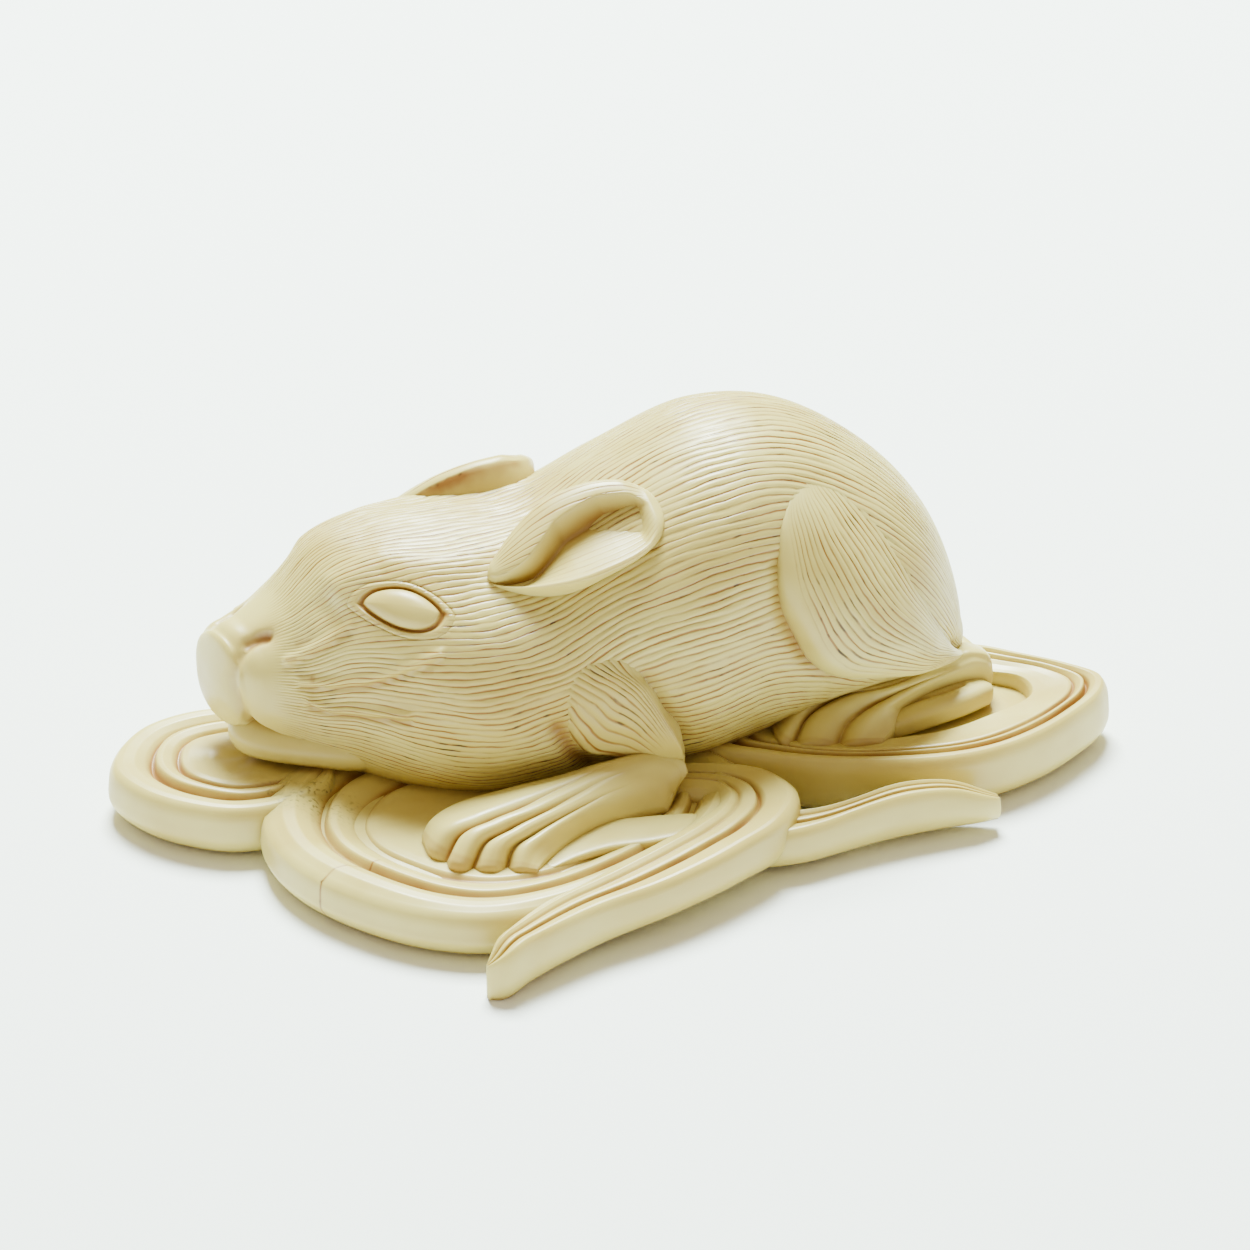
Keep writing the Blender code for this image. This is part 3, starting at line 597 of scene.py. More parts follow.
    forepaw: Foot = Foot((
        ((2.2, -10.7, 5.2), (2.0, -10.4, 6.0), (1.0, -10.1, 6.3), (-3.0, -10.7, 6.2), (-6.3, -11.6, 5.9),
         (-10.4, -12.4, 5.6), (-13.8, -13.1, 5.2), (-15.8, -14.3, 4.7), (-16.5, -14.9, 3.9)),
        ((2.6, -11.7, 5.5), (2.3, -11.5, 6.3), (1.0, -11.2, 6.8), (-3.1, -11.9, 6.8), (-6.5, -13.2, 6.5),
         (-10.2, -14.7, 6.3), (-12.9, -15.7, 6.0), (-15.2, -16.5, 5.4), (-16.3, -16.9, 4.1)),
        ((2.2, -12.3, 5.1), (1.9, -12.2, 6.0), (0.7, -12.1, 6.7), (-3.0, -13.1, 6.8), (-6.1, -14.8, 6.6),
         (-9.2, -16.7, 6.4), (-11.4, -17.5, 6.1), (-13.6, -18.4, 5.5), (-14.7, -19.5, 4.1)),
        ((1.5, -12.9, 4.4), (1.2, -12.8, 5.4), (0.2, -12.9, 6.1), (-2.8, -14.0, 6.3), (-5.4, -15.7, 6.2),
         (-8.0, -17.3, 6.1), (-9.9, -18.3, 5.8), (-11.7, -19.3, 5.2), (-12.4, -20.2, 4.0)),
        ((1.1, -13.4, 4.0), (0.8, -13.4, 4.6), (-0.1, -13.5, 5.1), (-2.5, -14.7, 5.3), (-4.6, -16.0, 5.4),
         (-6.8, -17.6, 5.4), (-8.2, -18.6, 5.2), (-9.6, -19.6, 4.7), (-10.2, -20.5, 3.9)),
        ((0.9, -13.7, 3.5), (0.6, -13.7, 3.8), (-0.2, -13.9, 3.9), (-2.2, -14.8, 4.0), (-4.0, -15.7, 4.1),
         (-6.2, -17.3, 4.2), (-7.6, -18.6, 4.1), (-8.6, -19.7, 3.9), (-9.2, -20.5, 3.7))), 3.2)
    hind_paw: Foot = Foot((
        ((26.4, 0.8, 5.2), (26.1, 0.8, 6.3), (25.0, 0.8, 6.9), (23.5, 0.5, 6.9), (19.9, -1.6, 6.4),
         (16.6, -2.5, 6.4), (13.7, -2.0, 6.3), (11.3, -2.7, 5.7), (9.7, -4.2, 4.7)),
        ((26.5, -0.5, 5.3), (26.2, -0.5, 6.6), (25.0, -0.6, 7.2), (23.4, -1.1, 7.2), (20.0, -2.9, 6.9),
         (16.7, -4.2, 6.9), (13.7, -4.0, 6.7), (11.4, -5.0, 6.0), (9.8, -6.8, 4.7)),
        ((26.5, -1.0, 5.0), (26.2, -1.1, 6.2), (25.1, -1.3, 6.8), (23.5, -1.9, 6.7), (20.6, -3.6, 6.8),
         (18.0, -4.9, 6.8), (15.4, -5.3, 6.6), (13.3, -6.2, 5.9), (12.2, -7.9, 4.6)),
        ((26.4, -1.3, 4.8), (26.1, -1.4, 5.6), (25.2, -1.6, 6.1), (23.9, -2.1, 6.1), (21.6, -3.4, 6.1),
         (19.6, -4.7, 6.1), (18.0, -5.9, 6.0), (16.6, -7.1, 5.5), (15.6, -8.3, 4.6)),
        ((26.3, -1.5, 4.4), (26.0, -1.5, 4.8), (25.2, -1.6, 5.1), (24.0, -1.9, 5.2), (22.0, -2.8, 5.2),
         (20.4, -3.9, 5.2), (19.0, -5.0, 5.1), (18.2, -6.6, 4.8), (17.1, -8.0, 4.4))), 3.6)
    near_ear: Ear = Ear((-10.4, -6.0, 18.6), (2.0, -5.0, 22.8), (0.05, -0.87, -0.48), 3.4, (0.25, 0.85))
    far_ear: Ear = Ear((-17.0, 7.4, 16.4), (-5.4, 7.6, 20.8), (0.05, 0.87, -0.48), 4.2, (0.8, 1.05))
    ear_crack: tuple = ((-3.7, -1.8, 23.0), (-3.9, -3.2, 22.6), (-3.7, -4.4, 21.9))
    # Black marks on the near ear: their line, strength and width in mm
    ear_soot: tuple = ((((-2.3, -2.5, 23.8), (1.2, -2.6, 22.6)), 1.2, 0.8),
                       (((-1.4, -4.5, 22.5), (0.2, -4.8, 22.3)), 1.6, 0.28))

    run: np.ndarray = field(init=False)           # distance along the spine at each of its stations
    dense: np.ndarray = field(init=False)         # angles of the dense table of the trunk
    stations: np.ndarray = field(init=False)      # places of that table
    mesh: np.ndarray = field(init=False)          # its points
    arc: np.ndarray = field(init=False)           # its shares of the girth
    lines: int = field(init=False)                # hair lines on the trunk
    eye_middle: np.ndarray = field(init=False)
    eye_turn: np.ndarray = field(init=False)      # angles round the eye
    eye_ring: np.ndarray = field(init=False)      # its outline

    def __post_init__(self) -> None:
        """Measure the spine, the girth of every section and the eye once."""
        spine = np.array(self.spine)
        self.run = lengths(spine[:, :3])
        self.dense = np.linspace(-0.5 * math.pi, 1.5 * math.pi, 721)
        self.stations = np.linspace(0.0, self.run[-1], 500)
        self.mesh = self.section(self.stations[:, None], self.dense[None])
        steps = np.linalg.norm(np.diff(self.mesh, axis=1), axis=2)
        arc = np.concatenate([np.zeros((len(steps), 1)), np.cumsum(steps, axis=1)], axis=1)
        arc[0], arc[-1] = arc[1], arc[-2]
        self.lines = int(round((self.last_line - self.first_line) * arc[:, -1].max() / PITCH))
        self.arc = arc / arc[:, -1:]
        front, back, top, low = self.marks(self.eye_marks) * GIRTH
        self.eye_middle = 0.5 * (front + back)
        self.eye_turn = turn = np.linspace(0.0, 2.0 * math.pi, 181)[:-1, None]
        lid = np.where(np.sin(turn) >= 0, top - self.eye_middle, low - self.eye_middle)
        self.eye_ring = (self.eye_middle + 0.5 * np.cos(turn) * (back - front)
                         + np.abs(np.sin(turn)) ** 1.4 * lid * (0.0, 1.0))

    def section(self, place: np.ndarray, angle: np.ndarray) -> np.ndarray:
        """Points on the trunk: superellipses turned by yaw and tipped by pitch along the spine.

        Args:
            place: Distance along the spine in mm.
            angle: Angle round the section, 0 on the near side and a right angle on top.

        Returns:
            The points, with a last axis for the coordinates.
        """
        place, angle = np.broadcast_arrays(place, angle)
        table = smooth(place, self.run, np.array(self.spine))
        x, y, z, yaw, pitch, near, far, up, down, top_round, low_round = np.moveaxis(table, -1, 0)
        cos, sin = np.cos(angle), np.sin(angle)
        roundness = np.where(sin >= 0, top_round, low_round)
        across = np.where(cos >= 0, near, far) * rounded(cos, roundness)
        rise = np.where(sin >= 0, up, down) * rounded(sin, roundness)
        yaw, pitch = np.radians(yaw), np.radians(pitch)
        return np.stack([x + across * np.sin(yaw) + rise * np.cos(yaw) * np.sin(pitch),
                         y - across * np.cos(yaw) + rise * np.sin(yaw) * np.sin(pitch),
                         z + rise * np.cos(pitch)], axis=-1)

    def outward(self, place: np.ndarray, angle: np.ndarray) -> np.ndarray:
        """Cross small steps along the sections' surface and round it.

        Args:
            place: Distance along the spine in mm.
            angle: Angle round the section.

        Returns:
            An outward unit vector for each point.
        """
        place, angle = np.broadcast_arrays(place, angle)
        inner = np.clip(place, 0.05, self.run[-1] - 0.05)
        ahead = self.section(inner + 0.04, angle) - self.section(inner - 0.04, angle)
        across = self.section(inner, angle + 0.004) - self.section(inner, angle - 0.004)
        normal = np.cross(ahead, across)
        return normal / np.maximum(np.linalg.norm(normal, axis=-1, keepdims=True), 1e-9)

    def twin(self, angle: np.ndarray) -> np.ndarray:
        """The angle of the same spot on the near side."""
        return np.where(np.cos(angle) >= 0, angle, math.pi - angle)

    def form(self, place: np.ndarray, angle: np.ndarray) -> np.ndarray:
        """Shape the trunk before any fine cut: its sections with the broad swells of the near side.

        Args:
            place: Distance along the spine in mm.
            angle: Angle round the section.

        Returns:
            The points.
        """
        place, angle = np.broadcast_arrays(place, angle)
        gauge = Skin.plain(self.section(place, self.twin(angle)))
        lift = sum(high * gauge.nearness(line, wide) for line, wide, high in self.swells)
        return self.section(place, angle) + self.outward(place, angle) * lift[..., None]

    def marks(self, line: tuple | list) -> np.ndarray:
        """Find the spot on the trunk nearest to each of some points.

        Args:
            line: The points.

        Returns:
            The place and the angle of each.
        """
        flat = self.mesh.reshape(-1, 3)
        best = [int(np.argmin(np.sum((flat - p) ** 2, axis=1))) for p in np.asarray(line, float)]
        row, column = np.divmod(best, len(self.dense))
        return np.column_stack([self.stations[row], self.dense[column]])

    def chain(self, line: tuple | list, count: int = 30) -> np.ndarray:
        """Lay a smooth line on the trunk through some points on its near side."""
        place, angle = (track(self.marks(line) * GIRTH, count) / GIRTH).T
        return self.section(place, angle)

    def number(self, place: np.ndarray, angle: np.ndarray) -> np.ndarray:
        """Number the hair lines: the share of the girth at each spot, read from the dense table.

        Args:
            place: Distance along the spine in mm.
            angle: Angle round the section.

        Returns:
            The number of the line that passes each spot.
        """
        row = np.interp(place, self.stations, np.arange(len(self.stations)))
        low = np.clip(row.astype(int), 0, len(self.stations) - 2)
        turn = np.mod(angle + 0.5 * math.pi, 2.0 * math.pi) / (2.0 * math.pi) * (len(self.dense) - 1)
        left = np.clip(turn.astype(int), 0, len(self.dense) - 2)
        a, b = row - low, turn - left
        share = ((1 - a) * ((1 - b) * self.arc[low, left] + b * self.arc[low, left + 1])
                 + a * ((1 - b) * self.arc[low + 1, left] + b * self.arc[low + 1, left + 1]))
        number = (share - self.first_line) / (self.last_line - self.first_line) * self.lines
        return number - self.sway(place, number)

    def sway(self, place: np.ndarray, number: np.ndarray) -> np.ndarray:
        """Swing the hair lines to one side in two slow waves, neighbours together.

        Args:
            place: Distance along the spine in mm.
            number: Number of the line.

        Returns:
            How far each line swings, in lines.
        """
        # 9.3 and 4.9 mm long, 13 and 7.3 lines across
        wave = 0.17 * (np.sin(2 * math.pi * (place / 9.3 + number / 13.0))
                      + 0.25 * np.sin(2 * math.pi * (place / 4.9 + number / 7.3)))
        return wave * np.sin(math.pi * np.clip(number / self.lines, 0.0, 1.0)) ** 0.5

    def eye_reach(self, place: np.ndarray, angle: np.ndarray) -> np.ndarray:
        """Measure from the middle of the eye, as a share of the almond's reach that way.

        Args:
            place: Distance along the spine in mm.
            angle: Angle round the section.

        Returns:
            0 in the middle of the eye, 1 on its outline, more outside it.
        """
        offset = np.stack(np.broadcast_arrays(place, GIRTH[1] * self.twin(angle)), axis=-1) - self.eye_middle
        ring_off = self.eye_ring - self.eye_middle
        way, far = np.arctan2(ring_off[:, 1], ring_off[:, 0]), np.linalg.norm(ring_off, axis=1)
        order, heading = np.argsort(way), np.arctan2(offset[..., 1], offset[..., 0])
        reach = np.interp(heading, way[order], far[order], period=2 * math.pi)
        return np.linalg.norm(offset, axis=-1) / reach

    def trunk(self) -> Skin:
        """Lay the hair lines evenly round each section, then carve the face and comb the hair.

        Returns:
            The trunk's skin, from the nose to the tail.
        """
        head_end = float(np.interp(self.head_end, np.array(self.spine)[:, 0], self.run))
        place = np.interp(np.linspace(0.0, 1.0, self.rows), [0.0, 0.5, 1.0], [0.0, head_end, self.run[-1]])
        arc = smooth(place, self.stations, self.arc)
        count = CUTS_PER_LINE * self.lines + 1
        number = np.linspace(0.0, self.lines, count)
        whole = np.minimum(np.arange(count) // CUTS_PER_LINE, self.lines - 1)
        stray = self.stray * wander(self.rng, place, self.lines, self.stray_mm)[:, whole]
        swung = number[None] + self.sway(place[:, None], number[None]) + stray
        share = self.first_line + (self.last_line - self.first_line) * swung / self.lines
        under = np.linspace(self.last_line, 1.0 + self.first_line, 13)[1:-1] % 1.0
        share = np.concatenate([share, np.tile(under, (self.rows, 1))], axis=1)
        angle = np.stack([np.interp(row, marks, self.dense) for row, marks in zip(share, arc)])
        number = np.concatenate([number, np.full(len(under), self.lines), [self.lines]])
        place = place[:, None] + np.zeros_like(angle)
        skin = Skin.plain(self.form(place, angle))
        skin.gauge = self.section(place, self.twin(angle))
        skin.hair = np.stack(np.broadcast_arrays(place[:, :1], number[None]), axis=-1)
        self.face(skin)
        self.fur(skin, place, angle, count)
        return skin

    def fur(self, skin: Skin, place: np.ndarray, angle: np.ndarray, count: int) -> None:
        """Make room for the eyes, comb the trunk's hair, and stain and blacken a few strokes.

        Args:
            skin: The trunk, its face carved.
            place: Distance along the spine of each point.
            angle: Angle round the section of each point.
            count: Columns, from the first, that may hold hair lines.
        """
        reach = self.eye_reach(place, angle)
        skin.points = skin.points - skin.normals() * (0.9 * (1.0 - step_up(reach, 1.14, 1.36)))[..., None]
        x, z = skin.gauge[..., 0], skin.gauge[..., 2]
        lip = np.where(x > -9.0, 1.0, step_up(z + 0.22 * (x + 24.0), 5.8, 7.0))
        skin.hairy = step_up(x, *self.bare_nose) * lip * step_up(reach, 1.16, 1.34)
        pressed = wander(self.rng, place[:, 0], skin.points.shape[1], self.stroke_mm)
        stroke = np.clip(0.66 + 0.75 * pressed, 0.1, 1.3)
        fine = np.clip(place / 20.0, 0.7, 1.0)             # shallower cuts on the face
        skin.comb(0, count, self.hair_depth * skin.hairy * stroke * fine)
        near = np.cos(angle) > -0.2
        for line, width in self.soot_lines:
            skin.soot += 0.8 * skin.hairy * skin.nearness(line, width) * near
        for line in self.stain_strokes:
            skin.stain = np.maximum(skin.stain, 0.9 * skin.nearness(line, 0.16) * near)

    def face(self, skin: Skin) -> None:
        """Carve nostrils, cleft, mouth, whisker ridges and the creases round the limbs.

        Args:
            skin: The trunk, before its hair.
        """
        skin.cut(self.chain(self.nostril), 0.42, 0.42, 1.0)
        skin.cut(self.chain(self.nostril_dip), 0.9, 0.2, 0.3)
        for ridge in self.whiskers:
            line = self.chain(ridge)
            skin.cut(line, 0.34, -0.32)
            skin.cut(line - (0.0, 0.0, 0.55), 0.26, 0.2, 0.5)
        # Cleft and mouth lie on the near side alone, so distances are measured from the points
        twins, skin.gauge = skin.gauge, skin.points
        skin.cut(self.chain(self.cleft), 0.45, 0.38, 0.35)
        skin.cut(self.chain(self.mouth), 0.5, 0.5, 0.85)
        skin.gauge = twins
        skin.cut(self.chain(self.haunch.curves[0][3:]), 0.7, 0.4, 0.5)
        skin.cut(self.chain(self.shoulder.curves[0][2:]), 0.6, 0.3, 0.25)
        skin.cut(self.chain(self.armpit), 0.65, 0.35, 0.8)

    def relief(self, place: np.ndarray, angle: np.ndarray, height: np.ndarray, sunk: float = 1.4) -> Skin:
        """Close a form that stands on the trunk: its face at a height, its back under the surface.

        Args:
            place: Distance along the spine of each point of the face.
            angle: Angle round the section of each point.
            height: Height over the trunk in mm.
            sunk: Depth of the back in mm.

        Returns:
            The skin; the back's columns come after the face's.
        """
        up = self.outward(place, angle)
        face = self.form(place, angle) + up * height[..., None]
        pick = np.linspace(face.shape[1] - 1, 0, 5).astype(int)
        back = (self.form(place, angle) - up * sunk)[:, pick]
        grid = np.concatenate([face, back], axis=1)
        ends = [np.tile(row.mean(axis=0), (1, grid.shape[1], 1)) for row in (back[0], back[-1])]
        return Skin.plain(np.concatenate([ends[0], grid, ends[1]], axis=0))

    def flank_form(self, plan: FlankForm, side: Side) -> Skin:
        """Carve a limb on the flank, with its hair combed towards the joint.

        Height over the way across is a quarter ellipse at the crease, then level, then an S down
        to the trunk, so that the far edge runs out smoothly. A spot between two curves lies straight
        across; between three it lies on the parabola through them.

        Args:
            plan: What it is drawn as.
            side: Side of the hare.

        Returns:
            The form's skin.
        """
        cuts, lines, full = 4, plan.lines, plan.full
        tracks = [track(self.marks(line) * GIRTH, plan.rows) for line in plan.curves]
        start, end = tracks[0], tracks[-1]
        t = np.linspace(0.0, 1.0, cuts * lines + 1)[None]
        s = np.linspace(0.0, 1.0, plan.rows)[:, None]
        columns = np.arange(cuts * lines + 1)
        stray = wander(self.rng, 22.0 * s[:, 0], lines + 1, self.flank_stray_mm)[:, columns // cuts]
        stray = self.flank_stray / lines * stray
        bent = np.clip(t + stray * np.sin(math.pi * t), 0.0, 1.0)
        parts = ((1 - bent, bent) if len(tracks) == 2 else
                 ((1 - bent) * (1 - 2 * bent), 4 * bent * (1 - bent), bent * (2 * bent - 1)))
        where = sum(part[..., None] * curve[:, None] for part, curve in zip(parts, tracks))
        place, angle = where[..., 0], where[..., 1] / GIRTH[1]
        if side is Side.FAR:
            angle = math.pi - angle
        high = level(plan.heights, plan.rows)[:, None]
        lip = np.sqrt(1.0 - (1.0 - np.clip(t / plan.edge, 0.0, 1.0)) ** 2)
        kept = 0.52 * full * step_up(s, 0.1, 0.35)
        fall = step_up((t - 0.35 - kept) / (0.65 - kept), 0.0, 1.0)
        height = (high + 0.4) * lip * (1.0 - fall) - 0.4 * (1.0 - 0.6 * (1.0 - full) * step_up(t, 0.5, 1.0))
        height = height - 0.4 * full * step_up(t, 0.92, 1.0)
        skin = self.relief(place, angle, height)
        face = slice(0, t.shape[1])
        skin.hair[..., 0] = np.pad(lengths(start), 1, mode="edge")[:, None]
        skin.hair[:, face, 1] = lines * t
        skin.hair[:, t.shape[1]:, 1] = lines
        starts, full_at, thins, ends = plan.fade
        skin.hairy[1:-1, face] = (step_up(t, plan.bare, 1.6 * plan.bare) * step_up(s, starts, full_at)
                                  * step_up(-s, -ends, -thins))
        skin.stain[1:-1, face] = 0.5 * full * step_up(t, 0.82, 1.0) * step_up(s, 0.3, 0.45)
        pressed = wander(self.rng, skin.hair[:, 0, 0], skin.points.shape[1], self.stroke_mm)
        stroke = np.clip(0.7 + 0.6 * pressed, 0.1, 1.3)
        thin = np.clip(np.linalg.norm(end - start, axis=1) / lines / 0.45, 0.2, 1.0)
        depth = self.hair_depth * skin.hairy * stroke
        depth[1:-1] *= thin[:, None]
        skin.comb(0, t.shape[1], depth, cuts)
        return skin

    def flank_forms(self, plan: FlankForm, soot: tuple, width: float) -> list[Skin]:
        """Carve a limb on both sides, with black strokes on the near one.

        Args:
            plan: What it is drawn as.
            soot: Line that the black strokes gather round.
            width: How far they reach from it, in mm.

        Returns:
            The near form's skin and the far one's.
        """
        forms = [self.flank_form(plan, side) for side in Side]
        forms[0].soot = forms[0].hairy * forms[0].nearness(soot, width)
        return forms

    def eye(self, side: Side) -> Skin:
        """An almond eye: ball, ring groove and soft lid, drawn on circles that grow from its middle.

        Args:
            side: Which eye.

        Returns:
            The eye's skin.
        """
        reach = np.concatenate([np.linspace(0.0, 0.8, 12)[:-1], np.linspace(0.8, 1.45, 42)])
        shares, heights = np.array(self.eye_profile).T
        high = smooth(reach, shares, heights[:, None])[:, 0]
        where = self.eye_middle + reach[:, None, None] * (self.eye_ring - self.eye_middle)[None]
        place, angle = where[..., 0], where[..., 1] / GIRTH[1]
        if side is Side.FAR:
            angle = math.pi - angle
        up = self.outward(place, angle)
        face = self.form(place, angle) + up * high[:, None, None]
        back = (self.form(place, angle) - 1.3 * up)[::-9]
        end = np.tile(back[-1].mean(axis=0), (1, back.shape[1], 1))
        skin = Skin.plain(np.concatenate([face, back, end]))
        rows = len(reach)
        number = self.number(place, self.twin(angle) if side is Side.NEAR else angle)
        skin.hair[:rows, :-1, 0], skin.hair[:rows, :-1, 1] = place, number
        skin.hair[:rows, -1] = skin.hair[:rows, 0]
        groove = np.exp(-((reach - 1.0) / 0.075) ** 2)
        skin.stain[:rows] = (groove + 0.15 * np.exp(-((reach - 1.15) / 0.12) ** 2))[:, None]
        skin.hairy[:rows] = 0.8 * step_up(reach, 1.12, 1.24)[:, None]
        round_off = 1.0 - np.cos(self.eye_turn[:, 0])      # 0 at the rear corner
        corner = np.exp(-((reach[:, None] - 1.08) / 0.12) ** 2 - (round_off[None] / 0.03) ** 2)
        skin.stain[:rows] = np.maximum(skin.stain[:rows], corner)
        skin.soot[:rows] = 0.9 * corner
        return skin

    def paw(self, plan: Foot, rows: int = 90, columns: int = 121) -> Skin:
        """Carve a foot as one form: a sheet over its toes, closed by walls to the floor.

        Between two toes the sheet sinks by depth times (1 - |sin(pi t)|) to the power 1.3, t counted
        in toes: round backs with a narrow fold between them.

        Args:
            plan: What it is drawn as.
            rows: Rows of the sheet.
            columns: Columns of the sheet.

        Returns:
            The foot's skin.
        """
        sheet, toe = quilt(plan.net, rows, columns)
        deep = level(plan.folds, rows)[:, None]
        fold = (1.0 - np.abs(np.sin(math.pi * toe))) ** 1.3
        fold = fold * step_up(np.minimum(toe, toe[-1] - toe), 0.2, 0.6)
        up = np.cross(np.gradient(sheet, axis=0), np.gradient(sheet, axis=1))
        up *= np.sign(up[..., 2:].mean()) / np.maximum(np.linalg.norm(up, axis=-1, keepdims=True), 1e-9)
        sheet = sheet - up * (deep * fold)[..., None]
        low = sheet[:, [-1, -1, 0, 0]] * (1.0, 1.0, 0.0) + (0.0, 0.0, plan.floor)
        low[:, 0] = 0.5 * (sheet[:, -1] + low[:, 1])
        low[:, 3] = 0.5 * (sheet[:, 0] + low[:, 2])
        grid = np.concatenate([sheet, low], axis=1)
        wall = grid[-1] * (1.0, 1.0, 0.0) + (0.0, 0.0, plan.floor)
        tip = np.stack([0.4 * wall + 0.6 * grid[-1], wall])
        ends = [np.tile(row.mean(axis=0), (1, grid.shape[1], 1)) for row in (grid[0], wall)]
        skin = Skin.plain(np.concatenate([ends[0], grid, tip, ends[1]], axis=0))
        skin.stain[1:rows + 1, :len(toe)] = (0.75 * np.clip(deep / 0.6, 0.0, 1.0)
                                             * np.clip(2.0 * fold - 0.9, 0.0, 1.0))
        skin.stain[rows - 2:] = np.maximum(skin.stain[rows - 2:], 0.35)
        return skin

    def chin(self) -> Skin:
        """The lower jaw, set in under the lip."""
        return limb([(-28.6, -1.5, 6.3), (-26.0, -1.9, 5.8), (-22.0, -2.4, 5.6), (-16.0, -2.8, 5.4)],
                    [1.9, 2.6, 3.6, 5.0], [1.5, 1.7, 2.0, 2.4], along=70, around=60)

    def elbow(self) -> Skin:
        """The rounded elbow that joins the upper foreleg to the forearm."""
        thick = [1.1, 1.1, 1.1, 1.1, 1.0]
        return limb([(-0.8, -10.1, 9.6), (0.1, -10.4, 8.5), (0.9, -10.6, 7.5), (1.5, -10.8, 6.6),
                     (1.8, -11.1, 5.7)], thick, thick, up=(0.0, -0.8, 0.6), along=60, around=48)

    def ear_face(self, plan: Ear, s: np.ndarray, t: np.ndarray, roll: np.ndarray,
                 hollow: np.ndarray) -> np.ndarray:
        """Shape an ear's face: a dome for the rolled rim, a steep drop, a floor that climbs out.

        Towards the tip all of it closes to one low dome.

        Args:
            plan: The ear as drawn.
            s: Shares of the length, down a column.
            t: Shares across, along a row.
            roll: Share across that the rolled rim takes, down the ear.
            hollow: How open the hollow is down the ear, 0 to 1.

        Returns:
            Heights in mm.
        """
        crest = 0.85 * dome(np.minimum(t / roll, 1), 2.6)
        climb = np.clip((t - roll) / (1 - roll), 0, 1)
        floor = -plan.hollow * hollow + (plan.hollow * hollow + 0.35) * climb ** 1.15
        fall = step_up(t - roll, -0.10, 0.03)
        front = (crest * (1 - fall) + floor * fall) * np.sqrt(1 - np.clip((t - 0.93) / 0.07, 0, 1) ** 2)
        closed = step_up(s, 0.84, 0.95)
        return front * (1 - closed) + 0.6 * dome(t, 3) * closed

    def ear(self, plan: Ear) -> Skin:
        """Carve a leaf laid back on the neck: a thick rolled upper rim, a hollow, a thin lower rim.

        Width swells from the base to past the middle and closes round the tip.

        Args:
            plan: What it is drawn as.

        Returns:
            The ear's skin.
        """
        base, tip, across = (np.asarray(v, float) for v in (plan.base, plan.tip, plan.across))
        reach = np.linalg.norm(tip - base)
        ahead = (tip - base) / reach
        across = across - ahead * (across @ ahead)
        across /= np.linalg.norm(across)
        face = np.cross(across, ahead)
        face *= np.sign(face[2])
        s = 0.5 * (1.0 - np.cos(np.pi * np.linspace(0.0, 1.0, 120)))[:, None]
        broad = plan.broadest
        rising = 0.12 + 0.88 * np.sin(np.clip(s / broad, 0, 1) * math.pi / 2) ** 0.9
        falling = np.sqrt(1 - np.clip((s - broad) / (1 - broad), 0, 1) ** 2.6)
        closing = np.sqrt(1 - (1 - np.clip(s / 0.05, 0, 1)) ** 2)
        width = plan.half_width * rising * falling
        t = np.linspace(0.0, 1.0, 150)[None]
        t = 0.5 * t + 0.25 * (1.0 - np.cos(np.pi * t))
        roll = np.interp(s, [0, 0.08, 0.25, 0.45, 0.7, 0.88, 0.95, 1],
                         [0.85, 0.8, 0.64, 0.40, 0.31, 0.36, 0.5, 0.6])
        hollow = step_up(s, 0.02, 0.16) * step_up(-s, -0.95, -0.84)
        front = self.ear_face(plan, s, t, roll, hollow)
        back_t = t[:, ::-3][:, 1:-1]
        buried = 0.9 + (plan.root - 0.9) * (1.0 - step_up(s, *plan.free))
        back = -buried * dome(back_t, 3)
        thin = np.clip((1 - s) / 0.05, 0, 1) ** 0.5 * closing
        depth = np.concatenate([front, back], axis=1) * thin
        spread = 2.0 * np.concatenate([t, back_t], axis=1) - 1.0
        centre = base + ahead * (reach * s) + face * (0.9 * np.sin(math.pi * s))
        points = (centre[:, None] + (width * closing)[..., None] * spread[..., None] * across
                  + depth[..., None] * face)
        skin = Skin.plain(points)
        number = np.append(2.0 * plan.half_width / PITCH * np.concatenate([t[0], back_t[0]]), 0.0)
        skin.hair = np.stack(np.broadcast_arrays(reach * s, number[None]), axis=-1)
        front_columns = t.shape[1]
        rim = step_up(s, 0.04, 0.12) * step_up(-s, -0.96, -0.9)
        skin.hairy[:, :front_columns] = rim * (0.85 * (t < roll - 0.1) + 0.35 * (t > roll + 0.12))
        skin.stain[:, :front_columns] = hollow * np.exp(-((t - roll - 0.01) / 0.05) ** 2)
        return skin

    def ears(self) -> list[Skin]:
        """Carve both ears, and crack and blacken the near one.

        Returns:
            The near ear's skin and the far one's.
        """
        near, far = self.ear(self.near_ear), self.ear(self.far_ear)
        near.cut(np.array(self.ear_crack), 0.09, 0.05, 0.9)
        for line, strength, width in self.ear_soot:
            near.soot += strength * near.nearness(line, width)
        return [near, far]

    def carve(self) -> dict[str, list[Skin]]:
        """Carve the hare.

        Returns:
            The skins of each piece, by the piece's name.
        """
        elbow, paw, hind_paw = self.elbow(), self.paw(self.forepaw), self.paw(self.hind_paw)
        far_hind_paw = hind_paw.mirrored(self.rear_middle)
        far_hind_paw.points = far_hind_paw.points - (self.far_foot_ahead, 0.0, 0.0)
        return {"hare_trunk": [self.trunk()],
                "hare_forelegs": self.flank_forms(self.shoulder, self.shoulder_soot, 1.4)
                + [elbow, elbow.mirrored(self.front_middle), paw, paw.mirrored(self.front_middle)],
                "hare_hindlegs": self.flank_forms(self.haunch, self.haunch_soot, 2.2)
                + [hind_paw, far_hind_paw],
                "hare_ears_eyes_jaw": self.ears() + [self.eye(side) for side in Side] + [self.chin()]}


